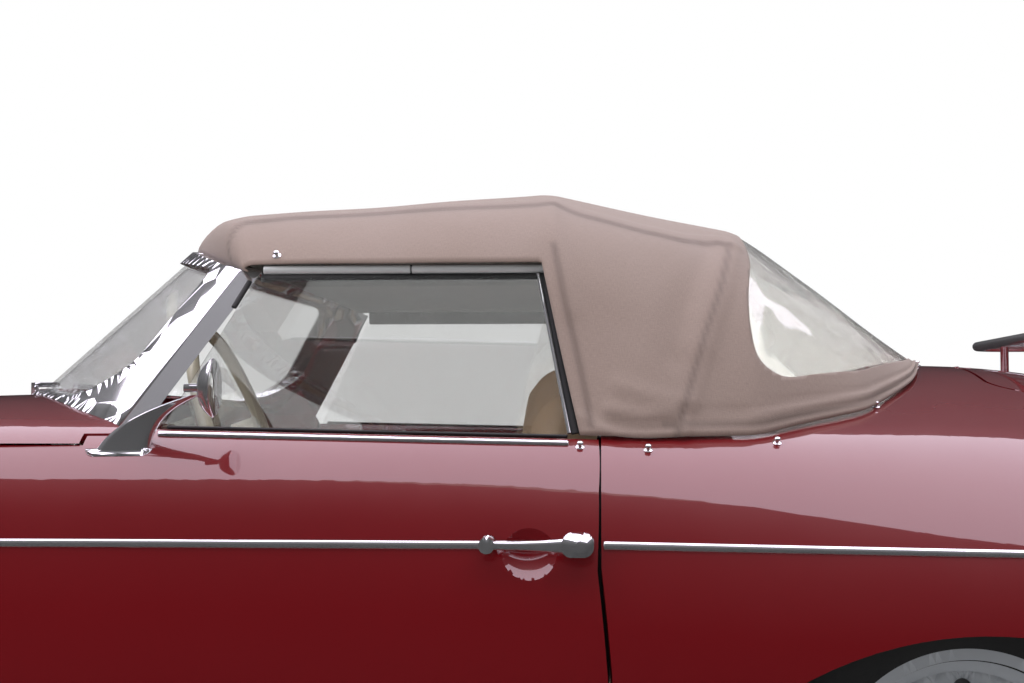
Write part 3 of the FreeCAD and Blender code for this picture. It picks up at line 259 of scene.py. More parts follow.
@dataclass(frozen=True)
class Finish:
    """One material: a Principled surface with variation, dust, painted seam shadow and fine relief."""

    name: str
    colour: Colour
    roughness: float = 0.5
    metallic: float = 0.0
    coat: float = 0.0
    coat_ior: float = 1.5
    sheen: float = 0.0
    transmission: float = 0.0
    alpha: float = 1.0
    ior: float = 1.45
    specular: float = 0.5
    mottle: float = 0.06
    mottle_scale: float = 5.0
    roughness_swing: float = 0.12
    dust: float = 0.0
    grain: float = 0.0
    grain_depth: float = 0.0002
    weave: float = 0.0
    weave_depth: float = 0.0004
    ripple: float = 0.0
    # Darkness of the painted shadow along the cloth's seam lines, at most.
    seams: float = 0.0
    ripple_scale: float = 30.0

    def material(self) -> bpy.types.Material:
        """Returns the material, which is made once by its name."""
        found = bpy.data.materials.get(self.name)
        return found if found else self.build()

    def build(self) -> bpy.types.Material:
        """Makes the node tree from the fields.

        Returns:
            The new material.
        """
        material = bpy.data.materials.new(self.name)
        bench = emptied_bench(material)
        surface = bench.add("ShaderNodeBsdfPrincipled")
        bench.add("ShaderNodeOutputMaterial", {"target": "ALL"}, Surface=surface.outputs[0])
        plain = {"Metallic": self.metallic, "IOR": self.ior, "Coat Weight": self.coat, "Coat IOR": self.coat_ior,
                 "Coat Roughness": 0.03, "Sheen Weight": self.sheen, "Sheen Roughness": 0.4,
                 "Transmission Weight": self.transmission, "Alpha": self.alpha, "Specular IOR Level": self.specular}
        for socket, value in plain.items():
            surface.inputs[socket].default_value = value
        coordinates = bench.add("ShaderNodeTexCoord").outputs
        solid = coordinates["Object"]
        heights: list[tuple[bpy.types.NodeSocket, float]] = []
        colour = self.tint(bench, coordinates["UV"] if self.weave else solid, heights)
        # Painted shadow: the colour darkens towards a dark brown where the seam attribute rises, standing in for the
        # shade in the grooves of the seam lines.
        if self.seams:
            seam = bench.add("ShaderNodeAttribute", {"attribute_name": "seam"})
            depth = bench.ramp(seam.outputs["Fac"], 0.0, 1.0, 0.0, self.seams)
            colour = bench.mix(depth, colour, rgba((0.09, 0.062, 0.055)))
        if self.dust:
            mask = self.grouped(bench, EFFECTS.dust, solid, Amount=self.dust).outputs["Mask"]
            colour = bench.mix(mask, colour, rgba((0.42, 0.38, 0.33)))
        bench.set(surface, "Base Color", colour)
        rough = self.grouped(bench, EFFECTS.mottle, solid, Scale=self.mottle_scale * 4, Amount=self.roughness_swing)
        bench.set(surface, "Roughness", bench.math("MULTIPLY", rough.outputs["Value"], self.roughness))
        if self.grain:
            pebbles = self.grouped(bench, EFFECTS.grain, solid, Scale=self.grain)
            heights.append((pebbles.outputs["Height"], self.grain_depth))
        if self.ripple:
            wave = bench.add("ShaderNodeTexNoise", Vector=solid, Scale=self.ripple_scale, Detail=2.0)
            heights.append((wave.outputs[0], self.ripple))
        self.relief(bench, surface, heights)
        return material

    def tint(self, bench: NodeBench, place: bpy.types.NodeSocket,
             heights: list[tuple[bpy.types.NodeSocket, float]]) -> bpy.types.NodeSocket:
        """The colour with its cloudy variation and its weave, whose height joins the others."""
        shade = self.grouped(bench, EFFECTS.mottle, place, Scale=self.mottle_scale, Amount=self.mottle)
        tinted = bench.add("ShaderNodeVectorMath", {"operation": "SCALE"})
        tinted.inputs[0].default_value = self.colour
        bench.set(tinted, "Scale", shade.outputs["Value"])
        if not self.weave:
            return tinted.outputs[0]
        cloth = self.grouped(bench, EFFECTS.weave, place, Pitch=self.weave)
        heights.append((cloth.outputs["Height"], self.weave_depth))
        woven = bench.add("ShaderNodeVectorMath", {"operation": "SCALE"})
        bench.set(woven, "0", tinted.outputs[0])
        bench.set(woven, "Scale", bench.ramp(cloth.outputs["Shade"], -0.4, 0.4, 0.86, 1.12))
        return woven.outputs[0]

    @staticmethod
    def relief(bench: NodeBench, surface: bpy.types.Node, heights: list[tuple[bpy.types.NodeSocket, float]]) -> None:
        """Chains one bump after another and links the last one to the surface."""
        previous = None
        for height, depth in heights:
            bump = bench.add("ShaderNodeBump", Distance=depth)
            bench.set(bump, "Height", height)
            if previous is not None:
                bench.set(bump, "Normal", previous)
            previous = bump.outputs[0]
        if previous is not None:
            bench.set(surface, "Normal", previous)

    @staticmethod
    def grouped(bench: NodeBench, group: bpy.types.NodeTree, place: bpy.types.NodeSocket,
                **values: float) -> bpy.types.Node:
        """Places a shared effect in a material with its own values."""
        node = bench.add("ShaderNodeGroup", {"node_tree": group})
        bench.set(node, "Vector", place)
        for name, value in values.items():
            node.inputs[name].default_value = value
        return node


PAINT = Finish("red_paint", (0.135, 0.0008, 0.0035), roughness=0.42, coat=1.0, coat_ior=1.75, specular=0.12,
               mottle=0.05, mottle_scale=2.0, dust=0.02, ripple=0.00003, ripple_scale=55.0)
CHROME = Finish("bright_chrome", (0.86, 0.87, 0.89), roughness=0.07, metallic=0.92, mottle=0.02, roughness_swing=0.35,
                ripple=0.00002, ripple_scale=40.0)
RAIL_ALLOY = Finish("polished_rail", (0.90, 0.91, 0.93), roughness=0.22, metallic=0.55, mottle=0.03,
                    roughness_swing=0.3)
RIM_SILVER = Finish("rim_silver", (0.50, 0.53, 0.57), roughness=0.35, metallic=0.35, mottle=0.05, dust=0.1, coat=0.3)
RUBBER = Finish("black_rubber", (0.012, 0.012, 0.013), roughness=0.55, mottle=0.2, dust=0.05, grain=500.0,
                grain_depth=0.00008)
TYRE_RUBBER = Finish("tyre_rubber", (0.018, 0.018, 0.019), roughness=0.62, mottle=0.25, dust=0.25, grain=300.0,
                     grain_depth=0.00015)
# The top cloth carries a painted shadow along its seam lines.
TOP_CLOTH = Finish("taupe_top_cloth", (0.268, 0.197, 0.176), roughness=0.85, sheen=0.25, mottle=0.06,
                   mottle_scale=2.5, weave=0.0022, weave_depth=0.00025, seams=0.55)
LINER = Finish("grey_headliner", (0.33, 0.32, 0.3), roughness=0.9, sheen=0.2, mottle=0.08, grain=900.0,
               grain_depth=0.0002)
TAN_LEATHER = Finish("tan_leather", (0.4, 0.27, 0.17), roughness=0.5, mottle=0.12, mottle_scale=8.0, grain=420.0,
                     grain_depth=0.0003)
CARPET = Finish("brown_carpet", (0.12, 0.085, 0.06), roughness=0.95, sheen=0.4, mottle=0.3, mottle_scale=60.0,
                grain=350.0, grain_depth=0.0015)
GLASS = Finish("window_glass", (0.94, 0.97, 0.96), roughness=0.0, transmission=1.0, alpha=0.35, ior=1.5, mottle=0.0,
               roughness_swing=0.0)
VINYL = Finish("clear_vinyl", (0.97, 0.96, 0.90), roughness=0.05, transmission=0.9, alpha=0.5, ior=1.35, mottle=0.02,
               ripple=0.006, ripple_scale=7.0)
LENS = Finish("lamp_lens", (0.62, 0.65, 0.67), roughness=0.06, transmission=0.55, ior=1.45, ripple=0.0006,
              ripple_scale=60.0)
RED_LENS = Finish("red_lens", (0.45, 0.01, 0.01), roughness=0.12, transmission=0.3, ripple=0.0005, ripple_scale=90.0)
IVORY = Finish("ivory_plastic", (0.72, 0.66, 0.52), roughness=0.3, coat=0.4, mottle=0.05)
UNDERSEAL = Finish("underseal", (0.02, 0.02, 0.02), roughness=0.8, mottle=0.4, dust=0.3, grain=160.0,
                   grain_depth=0.0012)
CAST = Finish("cast_metal", (0.22, 0.22, 0.22), roughness=0.55, metallic=0.8, mottle=0.2, dust=0.3, grain=220.0,
              grain_depth=0.0006)
STEEL = Finish("dark_steel", (0.07, 0.07, 0.075), roughness=0.5, metallic=0.6, mottle=0.2, dust=0.2)

NODE_FINISHES: dict[str, Finish] = {
    "top_rails": RUBBER, "floor_pan": UNDERSEAL, "front_wheel_houses": UNDERSEAL, "rear_wheel_houses": UNDERSEAL,
    "windscreen_frame": CHROME, "windscreen_glass": GLASS, "rear_window": VINYL,
    "soft_top": TOP_CLOTH, "seat_left": TAN_LEATHER, "seat_right": TAN_LEATHER, "dashboard": PAINT,
    "headlamps": LENS, "tail_lamps": RED_LENS, "front_bumper": CHROME, "rear_bumper": CHROME,
    "engine_block": CAST, "front_axle": STEEL, "rear_axle": CAST, "exhaust": STEEL, "wipers": CHROME,
    "door_glass_left": GLASS, "door_glass_right": GLASS, "door_handle_left": CHROME, "door_handle_right": CHROME,
    "mirror_left": CHROME, "luggage_rack": CHROME, "steering_wheel": IVORY, "knuckle_left": STEEL,
    "knuckle_right": STEEL, "engine_grille": CHROME,
}
WHEEL_FINISHES: dict[str, Finish] = {"tyre_": TYRE_RUBBER, "rim_": RIM_SILVER}
PAINTED_NODES = ("front_shell", "rear_shell", "front_lid", "engine_lid", "door_left", "door_right")


def give(piece: bpy.types.Object, *finishes: Finish) -> bpy.types.Object:
    """Puts finishes on a piece, whose faces have the first one until they are marked."""
    piece.data.materials.clear()
    for finish in finishes:
        piece.data.materials.append(finish.material())
    return piece


def mark_faces(piece: bpy.types.Object, number: int, chosen: Callable[[bpy.types.MeshPolygon], bool]) -> None:
    """Gives the faces that a test picks the piece's finish of that number."""
    for face in piece.data.polygons:
        if chosen(face):
            face.material_index = number


def body_named(node: str) -> str:
    """The CAD body that a node rides on."""
    return frame["nodes"][node]["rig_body"]


def corners(node: str) -> tuple[Vector, Vector]:
    """The low and the high corner of a node's box."""
    low, high = (Vector(corner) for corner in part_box(node))
    return low, high


def linked(name: str, mesh: bpy.types.Mesh) -> bpy.types.Object:
    """Puts a mesh into the scene as a new piece and makes it the active one."""
    piece = bpy.data.objects.new(name, mesh)
    bpy.context.scene.collection.objects.link(piece)
    return activate(piece)


def with_modifier(piece: bpy.types.Object, name: str, kind: str, **settings: object) -> None:
    """Adds a modifier to a piece and applies it.

    Args:
        piece: The piece.
        name: The modifier's name.
        kind: Its type.
        settings: Its own properties by name.
    """
    modifier = piece.modifiers.new(name, kind)
    for key, value in settings.items():
        setattr(modifier, key, value)
    activate(piece)
    bpy.ops.object.modifier_apply(modifier=modifier.name)


def made_piece(work: bmesh.types.BMesh, name: str, body: str, finish: Finish,
               smooth_degrees: float) -> bpy.types.Object:
    """Turns a mesh in the making into a smooth piece with one finish that rides on a body.

    Args:
        work: The mesh in the making, which is used up.
        name: The piece's name.
        body: The body that it rides on.
        finish: Its finish.
        smooth_degrees: The angle up to which neighbouring faces shade smoothly.

    Returns:
        The new piece.
    """
    bmesh.ops.recalc_face_normals(work, faces=work.faces)
    mesh = bpy.data.meshes.new(name)
    work.to_mesh(mesh)
    work.free()
    piece = linked(name, mesh)
    bpy.ops.object.shade_smooth_by_angle(angle=math.radians(smooth_degrees))
    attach(piece, body)
    return give(piece, finish)


def merged_copy(node: str, name: str, smooth_degrees: float = 32.0) -> bpy.types.Object:
    """Copies a CAD node's mesh with its doubles merged and smooth shading, and lets the copy stand for the node.

    Args:
        node: The CAD node's name.
        name: The new piece's name.
        smooth_degrees: The angle up to which neighbouring faces shade smoothly.

    Returns:
        The new piece, which rides on the node's body.
    """
    piece = linked(name, frame["nodes"][node].data.copy())
    bpy.ops.object.mode_set(mode="EDIT")
    bpy.ops.mesh.select_all(action="SELECT")
    bpy.ops.mesh.remove_doubles(threshold=2e-5)
    bpy.ops.object.mode_set(mode="OBJECT")
    bpy.ops.object.shade_smooth_by_angle(angle=math.radians(smooth_degrees))
    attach(piece, body_named(node))
    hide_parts(node)
    return piece


def bell(offset: float, width: float) -> float:
    """A bell curve that is 1 where the offset is 0."""
    return math.exp(-(offset / width) ** 2)


def smooth_step(value: float, low: float, high: float) -> float:
    """Eases from 0 at low to 1 at high."""
    share = min(max((value - low) / (high - low), 0.0), 1.0)
    return share * share * (3 - 2 * share)


def arc_steps(start: Pair, apex: Pair, end: Pair, count: int) -> list[Pair]:
    """Points of the circular arc from start to end whose tangents meet at the apex, without its start."""
    chord = math.dist(start, end)
    weight = chord / 2 / max(math.dist(start, apex), 1e-9)
    points = []
    for step in range(1, count + 1):
        t = step / count
        first, middle, last = (1 - t) ** 2, 2 * weight * t * (1 - t), t ** 2
        total = first + middle + last
        points.append(tuple((first * a + middle * b + last * c) / total for a, b, c in zip(start, apex, end)))
    return points


def biarc(start: Pair, start_slope: float, end: Pair, end_slope: float, count: int) -> list[Pair]:
    """Two arcs that run smoothly from one point to the next, without the start.

    Args:
        start: First point as y and z.
        start_slope: Slope there in degrees.
        end: Last point.
        end_slope: Slope there in degrees.
        count: Steps on each arc.

    Returns:
        The points after the start.
    """
    leave = Vector((math.cos(math.radians(start_slope)), math.sin(math.radians(start_slope))))
    arrive = Vector((math.cos(math.radians(end_slope)), math.sin(math.radians(end_slope))))
    a, b = Vector(start), Vector(end)
    span, turn = b - a, 1 - leave.dot(arrive)
    along = span.dot(leave + arrive)
    if turn < 1e-9:
        reach = span.length_squared / (2 * along)
    else:
        reach = (math.sqrt(along ** 2 + 2 * turn * span.length_squared) - along) / (2 * turn)
    first, second = a + leave * reach, b - arrive * reach
    middle = (first + second) / 2
    return arc_steps(start, tuple(first), tuple(middle), count) + arc_steps(tuple(middle), tuple(second), end, count)


@dataclass
class BodyMaster:
    """The body's smooth outer skin, worked out from its stations, which gives the panels their shading normals.

    A station holds x in metres and, in millimetres, the crown's height, the crest's y and z with its slope in
    degrees, the widest place's y and z and the foot's y and z.
    """

    stations: tuple[tuple[float, ...], ...] = (
        (1.865, 462, 120, 458, -6, 240, 425, 180, 388), (1.845, 520, 270, 514, -6, 400, 432, 330, 325),
        (1.785, 580, 440, 598, -2, 590, 446, 520, 268), (1.680, 648, 540, 690, 2, 715, 462, 645, 224),
        (1.545, 718, 585, 742, 0, 776, 474, 708, 200), (1.215, 792, 612, 795, -3, 802, 480, 735, 195),
        (0.870, 850, 628, 827, -11, 810, 480, 740, 195), (0.400, 878, 634, 838, -14, 814, 480, 742, 195),
        (-0.350, 890, 634, 829, -16, 820, 480, 743, 195), (-0.885, 934, 566, 830, -19, 835, 480, 745, 195),
        (-1.250, 896, 520, 800, -20, 816, 480, 730, 204), (-1.550, 752, 466, 694, -16, 752, 468, 668, 232),
        (-1.725, 612, 398, 580, -12, 634, 446, 552, 276), (-1.830, 500, 270, 486, -8, 450, 414, 380, 318),
        (-1.875, 420, 110, 415, -6, 220, 380, 170, 345))
    steps: int = 12
    spans: int = 260
    reach: float = 0.005
    likeness: float = 0.9
    tree: BVHTree = field(init=False)
    points: list[Vector] = field(init=False)
    faces: list[tuple[int, ...]] = field(init=False)
    normals: list[Vector] = field(init=False)

    def section(self, station: tuple[float, ...]) -> list[Pair]:
        """Points of one station's left half from its crown to its foot."""
        _, crown, crest_y, crest_z, slope, wide_y, wide_z, foot_y, foot_z = station
        points = [(0.0, crown)] + biarc((0.0, crown), 0.0, (crest_y, crest_z), slope, self.steps)
        points += biarc((crest_y, crest_z), slope, (wide_y, wide_z), -90.0, self.steps)
        drop, pull = wide_z - foot_z, wide_y - foot_y
        apex = (wide_y, wide_z - (drop ** 2 + pull ** 2) / (2 * drop))
        return points + arc_steps((wide_y, wide_z), apex, (foot_y, foot_z), self.steps)

    def __post_init__(self) -> None:
        """Spans the stations with natural splines and keeps the skin as a search tree with smooth normals."""
        places = [station[0] for station in self.stations][::-1]
        rows = [self.section(station) for station in self.stations][::-1]
        xs = [places[0] + (places[-1] - places[0]) * i / self.spans for i in range(self.spans + 1)]
        columns = []
        for j in range(len(rows[0])):
            ys, zs = ([row[j][k] * MM for row in rows] for k in (0, 1))
            columns.append(list(zip(natural_spline(places, ys, xs), natural_spline(places, zs, xs))))
        count = len(columns)
        self.points = [Vector((x, *columns[j][i])) for i, x in enumerate(xs) for j in range(count)]
        self.faces = [(i * count + j, (i + 1) * count + j, (i + 1) * count + j + 1, i * count + j + 1)
                      for i in range(self.spans) for j in range(count - 1)]
        self.tree = BVHTree.FromPolygons(self.points, self.faces)
        self.normals = [self.smooth_normal(i, j, count) for i in range(len(xs)) for j in range(count)]

    def smooth_normal(self, i: int, j: int, count: int) -> Vector:
        """The skin's normal at point j of row i, from the points around it."""
        along = self.points[min(i + 1, self.spans) * count + j] - self.points[max(i - 1, 0) * count + j]
        across = Vector((0, 1, 0))
        if j > 0:
            across = self.points[i * count + min(j + 1, count - 1)] - self.points[i * count + j - 1]
        return across.cross(along).normalized() * -1

    def normal_at(self, place: Vector) -> Vector | None:
        """The skin's normal at a place on it, or None where the place is off the skin."""
        side = -1.0 if place.y < 0 else 1.0
        left = Vector((place.x, abs(place.y), place.z))
        hit, _, index, distance = self.tree.find_nearest(left)
        if hit is None or distance > self.reach:
            return None
        corners = self.faces[index]
        weights = [1.0 / (1e-6 + (self.points[c] - hit).length_squared) for c in corners]
        total = sum((self.normals[c] * w for c, w in zip(corners, weights)), Vector())
        total.normalize()
        if total.dot(Vector((0, left.y, left.z - 0.5))) < 0:
            total = -total
        return Vector((total.x, total.y * side, total.z))

    def shade(self, panel: bpy.types.Object) -> None:
        """Gives a panel the skin's own normals wherever its faces lie on the skin."""
        mesh = panel.data
        kept = [Vector(corner.vector) for corner in mesh.corner_normals]
        found: dict[int, Vector | None] = {}
        for face in mesh.polygons:
            for loop in face.loop_indices:
                vertex = mesh.loops[loop].vertex_index
                if vertex not in found:
                    found[vertex] = self.normal_at(mesh.vertices[vertex].co)
                normal = found[vertex]
                if normal is not None and normal.dot(face.normal) > self.likeness:
                    kept[loop] = normal
        mesh.normals_split_custom_set([tuple(n) for n in kept])


def natural_spline(places: list[float], values: list[float], wanted: list[float]) -> list[float]:
    """Values of the natural cubic spline through the given ones at the wanted places, all in rising order."""
    count = len(places)
    gaps = [places[i + 1] - places[i] for i in range(count - 1)]
    bends = [0.0] * count
    upper, right = [0.0] * count, [0.0] * count
    for i in range(1, count - 1):
        rise = 6 * ((values[i + 1] - values[i]) / gaps[i] - (values[i] - values[i - 1]) / gaps[i - 1])
        pivot = 2 * (gaps[i - 1] + gaps[i]) - gaps[i - 1] * upper[i - 1]
        upper[i] = gaps[i] / pivot
        right[i] = (rise - gaps[i - 1] * right[i - 1]) / pivot
    for i in range(count - 2, 0, -1):
        bends[i] = right[i] - upper[i] * bends[i + 1]
    result = []
    span = 0
    for x in wanted:
        while span < count - 2 and x > places[span + 1]:
            span += 1
        low, gap = places[span], gaps[span]
        b, a = (x - low) / gap, (places[span + 1] - x) / gap
        bend = (a ** 3 - a) * bends[span] + (b ** 3 - b) * bends[span + 1]
        result.append(a * values[span] + b * values[span + 1] + bend * gap ** 2 / 6)
    return result


@cache
def body_skin() -> BodyMaster:
    """The body's smooth skin, worked out once."""
    return BodyMaster()


def tree_of(*nodes: str) -> BVHTree:
    """Search tree over some CAD nodes' meshes."""
    points, faces = [], []
    for node in nodes:
        mesh = frame["nodes"][node].data
        start = len(points)
        points += [vertex.co.copy() for vertex in mesh.vertices]
        faces += [[start + index for index in face.vertices] for face in mesh.polygons]
    return BVHTree.FromPolygons(points, faces)


@dataclass
class PaintedBody:
    """The painted panels, as smooth copies of the CAD nodes.

    The solid door's rear edge is edge_line, as z and x. Its skin is drawn back to gap_line_x, which eases off
    towards reach_x.
    """

    gap_line_x: float = -0.3688
    reach_x: float = -0.20
    low_z: float = 0.64
    clear_x: float = -0.325
    clear_z: float = 0.72
    skin_depth: float = 0.003
    least_shift: float = 0.0012
    edge_line: tuple[Pair, ...] = (
        (0.64, -0.3677), (0.676, -0.362), (0.739, -0.3518), (0.802, -0.336), (0.84, -0.326))

    def edge_x(self, z: float) -> float:
        """Where the solid door ends at a height."""
        border = self.edge_line[-1][1]
        for (low_z, low_x), (high_z, high_x) in zip(self.edge_line, self.edge_line[1:]):
            if low_z <= z <= high_z:
                border = low_x + (high_x - low_x) * (z - low_z) / (high_z - low_z)
        return border

    def close_gap(self, door: bpy.types.Object, skin: BVHTree) -> None:
        """Draws the door's skin back to an even gap at its rear edge.

        Args:
            door: The door's panel.
            skin: The body's smooth skin.
        """
        for vertex in door.data.vertices:
            spot = vertex.co.copy()
            hit, _, _, distance = skin.find_nearest(Vector((spot.x, abs(spot.y), spot.z)))
            outside = spot.x > self.reach_x or spot.z < self.low_z or (spot.x > self.clear_x and spot.z < self.clear_z)
            if outside or hit is None or distance > self.skin_depth:
                continue
            border = self.edge_x(spot.z)
            shift = min(self.gap_line_x - border, 0.0) * smooth_step(-spot.x, -self.reach_x, -border)
            if shift > -self.least_shift:
                continue
            places = [Vector((spot.x + move, abs(spot.y), spot.z)) for move in (0.0, shift)]
            before, after = (skin.find_nearest(place)[0] for place in places)
            sideways = (after.y - before.y) * math.copysign(1.0, spot.y)
            vertex.co = spot + Vector((shift, sideways, after.z - before.z))

    def build(self) -> list[bpy.types.Object]:
        """Makes every painted panel."""
        panels = []
        for node in PAINTED_NODES:
            panel = give(merged_copy(node, node + "_panel"), PAINT)
            if node.startswith("door_"):
                self.close_gap(panel, body_skin().tree)
            body_skin().shade(panel)
            panels.append(panel)
        return panels


@dataclass
class Stage:
    """Pale floor, soft lights and the camera of the photographed view."""

    camera_place: Point = (-0.372, 2.9, 0.845)
    focal_length_px: float = 1544.0
    picture_px: Pair = (1024.0, 683.0)
    sensor_mm: float = 36.0
    yaw_degrees: float = 3.27
    pitch_degrees: float = 2.7
    floor_half: float = 30.0
    card_size: Pair = (9.0, 4.7)
    card_z: float = 4.2
    card_strength: float = 3.0
    wall_radius: float = 5.2
    wall_height: float = 9.5
    wall_middle_z: float = 4.74
    wall_ramp: Pair = (1.2, 9.0)
    wall_top_glow: float = 0.34
    flag_glow: float = 0.03
    flag_colour: Colour = (0.96, 0.92, 1.0)
    ground_size: float = 11.0
    ground_z: float = -0.004

    def ahead(self) -> Vector:
        """The direction in which the camera looks."""
        yaw, pitch = math.radians(self.yaw_degrees), math.radians(self.pitch_degrees)
        return Vector((math.sin(yaw) * math.cos(pitch), -math.cos(yaw) * math.cos(pitch), math.sin(pitch)))

    def floor(self) -> bpy.types.Object:
        """A pale floor that keeps the car's shadow."""
        deselect()
        bpy.ops.mesh.primitive_plane_add(size=2 * self.floor_half, location=(0, 0, 0))
        floor = bpy.context.active_object
        floor.name = "studio_floor"
        floor.visible_glossy = False
        give(floor, Finish("pale_floor", (0.7, 0.69, 0.68), roughness=0.6, mottle=0.03))
        return floor

    def world(self) -> None:
        """White where the camera, gloss and glass see it, and a plain level of light elsewhere."""
        world = bpy.data.worlds.new("studio_world")
        bpy.context.scene.world = world
        bench = emptied_bench(world)
        path = bench.add("ShaderNodeLightPath")
        seen = bench.math("MAXIMUM", path.outputs["Is Camera Ray"], path.outputs["Is Glossy Ray"])
        seen = bench.math("MAXIMUM", seen, path.outputs["Is Transmission Ray"])
        strength = bench.ramp(seen, 0.0, 1.0, 0.55, 1.0)
        background = bench.add("ShaderNodeBackground", Color=rgba((1.0, 1.0, 1.0)))
        bench.set(background, "Strength", strength)
        bench.add("ShaderNodeOutputWorld", Surface=background.outputs[0])

    def lamp(self, name: str, place: Point, aim: Point, size: Pair, power: float) -> bpy.types.Object:
        """One soft rectangular lamp."""
        deselect()
        bpy.ops.object.light_add(type="AREA", location=place)
        lamp = bpy.context.active_object
        lamp.name = name
        lamp.data.shape = "RECTANGLE"
        lamp.data.size, lamp.data.size_y = size
        lamp.data.energy = power
        lamp.visible_glossy = False
        lamp.rotation_mode = "QUATERNION"
        lamp.rotation_quaternion = (Vector(aim) - Vector(place)).to_track_quat("-Z", "Y")
        return lamp

    @staticmethod
    def gloss_only(piece: bpy.types.Object, name: str, colour: Colour, strength: float) -> tuple[
            NodeBench, bpy.types.Node]:
        """Gives a stage piece a glow that shows in gloss alone.

        Args:
            piece: The stage piece.
            name: The material's name.
            colour: The glow's colour.
            strength: The glow's strength.

        Returns:
            The material's bench and its emission node.
        """
        material = bpy.data.materials.new(name)
        bench = emptied_bench(material)
        glow = bench.add("ShaderNodeEmission", Color=rgba(colour), Strength=strength)
        bench.add("ShaderNodeOutputMaterial", Surface=glow.outputs[0])
        piece.data.materials.append(material)
        piece.visible_camera = piece.visible_diffuse = piece.visible_shadow = piece.visible_transmission = False
        return bench, glow

    def card(self) -> None:
        """Bright overhead card, as the open sky shows in the paint."""
        deselect()
        bpy.ops.mesh.primitive_plane_add(size=1, location=(0, 0, self.card_z))
        card = bpy.context.active_object
        card.name = "reflection_card"
        card.scale = (*self.card_size, 1.0)
        self.gloss_only(card, "card_glow", (0.96, 0.87, 1.0), self.card_strength)

    def dark_flags(self) -> None:
        """Dark wall that pales upwards and dark ground, so that upright panels keep their depth."""
        deselect()
        bpy.ops.mesh.primitive_cylinder_add(vertices=64, radius=self.wall_radius, depth=self.wall_height,
                                            end_fill_type="NOTHING", location=(0, 0, self.wall_middle_z))
        wall = bpy.context.active_object
        wall.name = "dark_wall"
        bench, glow = self.gloss_only(wall, "dark_wall_glow", self.flag_colour, self.flag_glow)
        place = bench.add("ShaderNodeTexCoord").outputs["Object"]
        height = bench.add("ShaderNodeSeparateXYZ", Vector=place).outputs["Z"]
        above_ground = bench.math("ADD", height, self.wall_middle_z)
        bench.set(glow, "Strength", bench.ramp(above_ground, *self.wall_ramp, self.flag_glow, self.wall_top_glow))
        deselect()
        bpy.ops.mesh.primitive_plane_add(size=self.ground_size, location=(0, 0, self.ground_z))
        ground = bpy.context.active_object
        ground.name = "dark_ground"
        self.gloss_only(ground, "dark_ground_glow", self.flag_colour, self.flag_glow)

    def camera(self) -> bpy.types.Object:
        """The camera at the photograph's place and angle."""
        deselect()
        bpy.ops.object.camera_add(location=self.camera_place)
        camera = bpy.context.active_object
        camera.name = "photo_camera"
        camera.data.sensor_width = self.sensor_mm
        camera.data.lens = self.sensor_mm * self.focal_length_px / self.picture_px[0]
        camera.rotation_mode = "QUATERNION"
        camera.rotation_quaternion = self.ahead().to_track_quat("-Z", "Y")
        camera.data.clip_end = 200.0
        bpy.context.scene.camera = camera
        return camera

    def build(self) -> None:
        """Sets the whole stage."""
        self.floor()
        self.world()
        self.lamp("overhead_softbox", (0.0, 1.2, 4.4), (0.0, 0.2, 0.6), (7.0, 4.0), 190.0)
        self.lamp("front_fill", (3.5, 4.0, 2.2), (0.3, 0.0, 0.6), (2.5, 2.5), 55.0)
        self.lamp("back_fill", (-3.0, -4.5, 2.6), (0.0, 0.0, 0.6), (3.0, 2.5), 60.0)
        self.card()
        self.dark_flags()
        self.camera()
        bpy.context.scene.view_settings.view_transform = "Standard"


@dataclass
class Sightline:
    """Finds where a place in the picture lies on the car's left side."""

    stage: Stage = field(default_factory=Stage)

    def ray(self, across_px: float, down_px: float) -> tuple[Vector, Vector]:
        """Start and direction of the sight line through a picture place."""
        ahead = self.stage.ahead()
        right = ahead.cross(Vector((0, 0, 1))).normalized()
        up = right.cross(ahead)
        (width, height), focal = self.stage.picture_px, self.stage.focal_length_px
        sideways, upward = (across_px - width / 2) / focal, (height / 2 - down_px) / focal
        return Vector(self.stage.camera_place), (ahead + right * sideways + up * upward).normalized()

    def hit(self, tree: BVHTree, across_px: float, down_px: float) -> tuple[Vector, Vector] | None:
        """Place and normal where the sight line meets a surface."""
        start, direction = self.ray(across_px, down_px)
        place, normal, _, _ = tree.ray_cast(start, direction)
        return None if place is None else (place, normal if normal.dot(direction) < 0 else -normal)


def sweep(name: str, path: list[Vector], outs: list[Vector], profile: list[Pair], finish: Finish,
          body: str) -> bpy.types.Object:
    """Carries a closed profile along a path.

    Args:
        name: The piece's name.
        path: Points of the path.
        outs: Direction away from the surface at each point.
        profile: Corners as distance across the path and distance outwards, turning the same way.
        finish: Its finish.
        body: The body that it rides on.

    Returns:
        The new piece.
    """
    work = bmesh.new()
    rings = []
    for i, (place, out) in enumerate(zip(path, outs)):
        along = (path[min(i + 1, len(path) - 1)] - path[max(i - 1, 0)]).normalized()
        across = along.cross(out).normalized()
        upward = across.cross(along).normalized()
        rings.append([work.verts.new(place + across * a + upward * b) for a, b in profile])
    for first, second in zip(rings, rings[1:]):
        for j in range(len(profile)):
            k = (j + 1) % len(profile)
            work.faces.new((first[j], first[k], second[k], second[j]))
    work.faces.new(rings[0][::-1])
    work.faces.new(rings[-1])
    return made_piece(work, name, body, finish, 50.0)


def half_round(width: float, height: float, steps: int = 8, sunk: float = 0.002) -> list[Pair]:
    """Half-round profile that stands on the surface, sunk a little at its foot."""
    turns = [math.pi * i / steps for i in range(steps + 1)]
    arc = [(width / 2 * math.cos(turn), height * math.sin(turn)) for turn in turns]
    return arc + [(-width / 2, -sunk), (width / 2, -sunk)]


def flat_profile(half_width: float, depth: float) -> list[Pair]:
    """Flat profile whose face lies on the path."""
    return [(-half_width, 0.0), (-half_width, -depth), (half_width, -depth), (half_width, 0.0)]


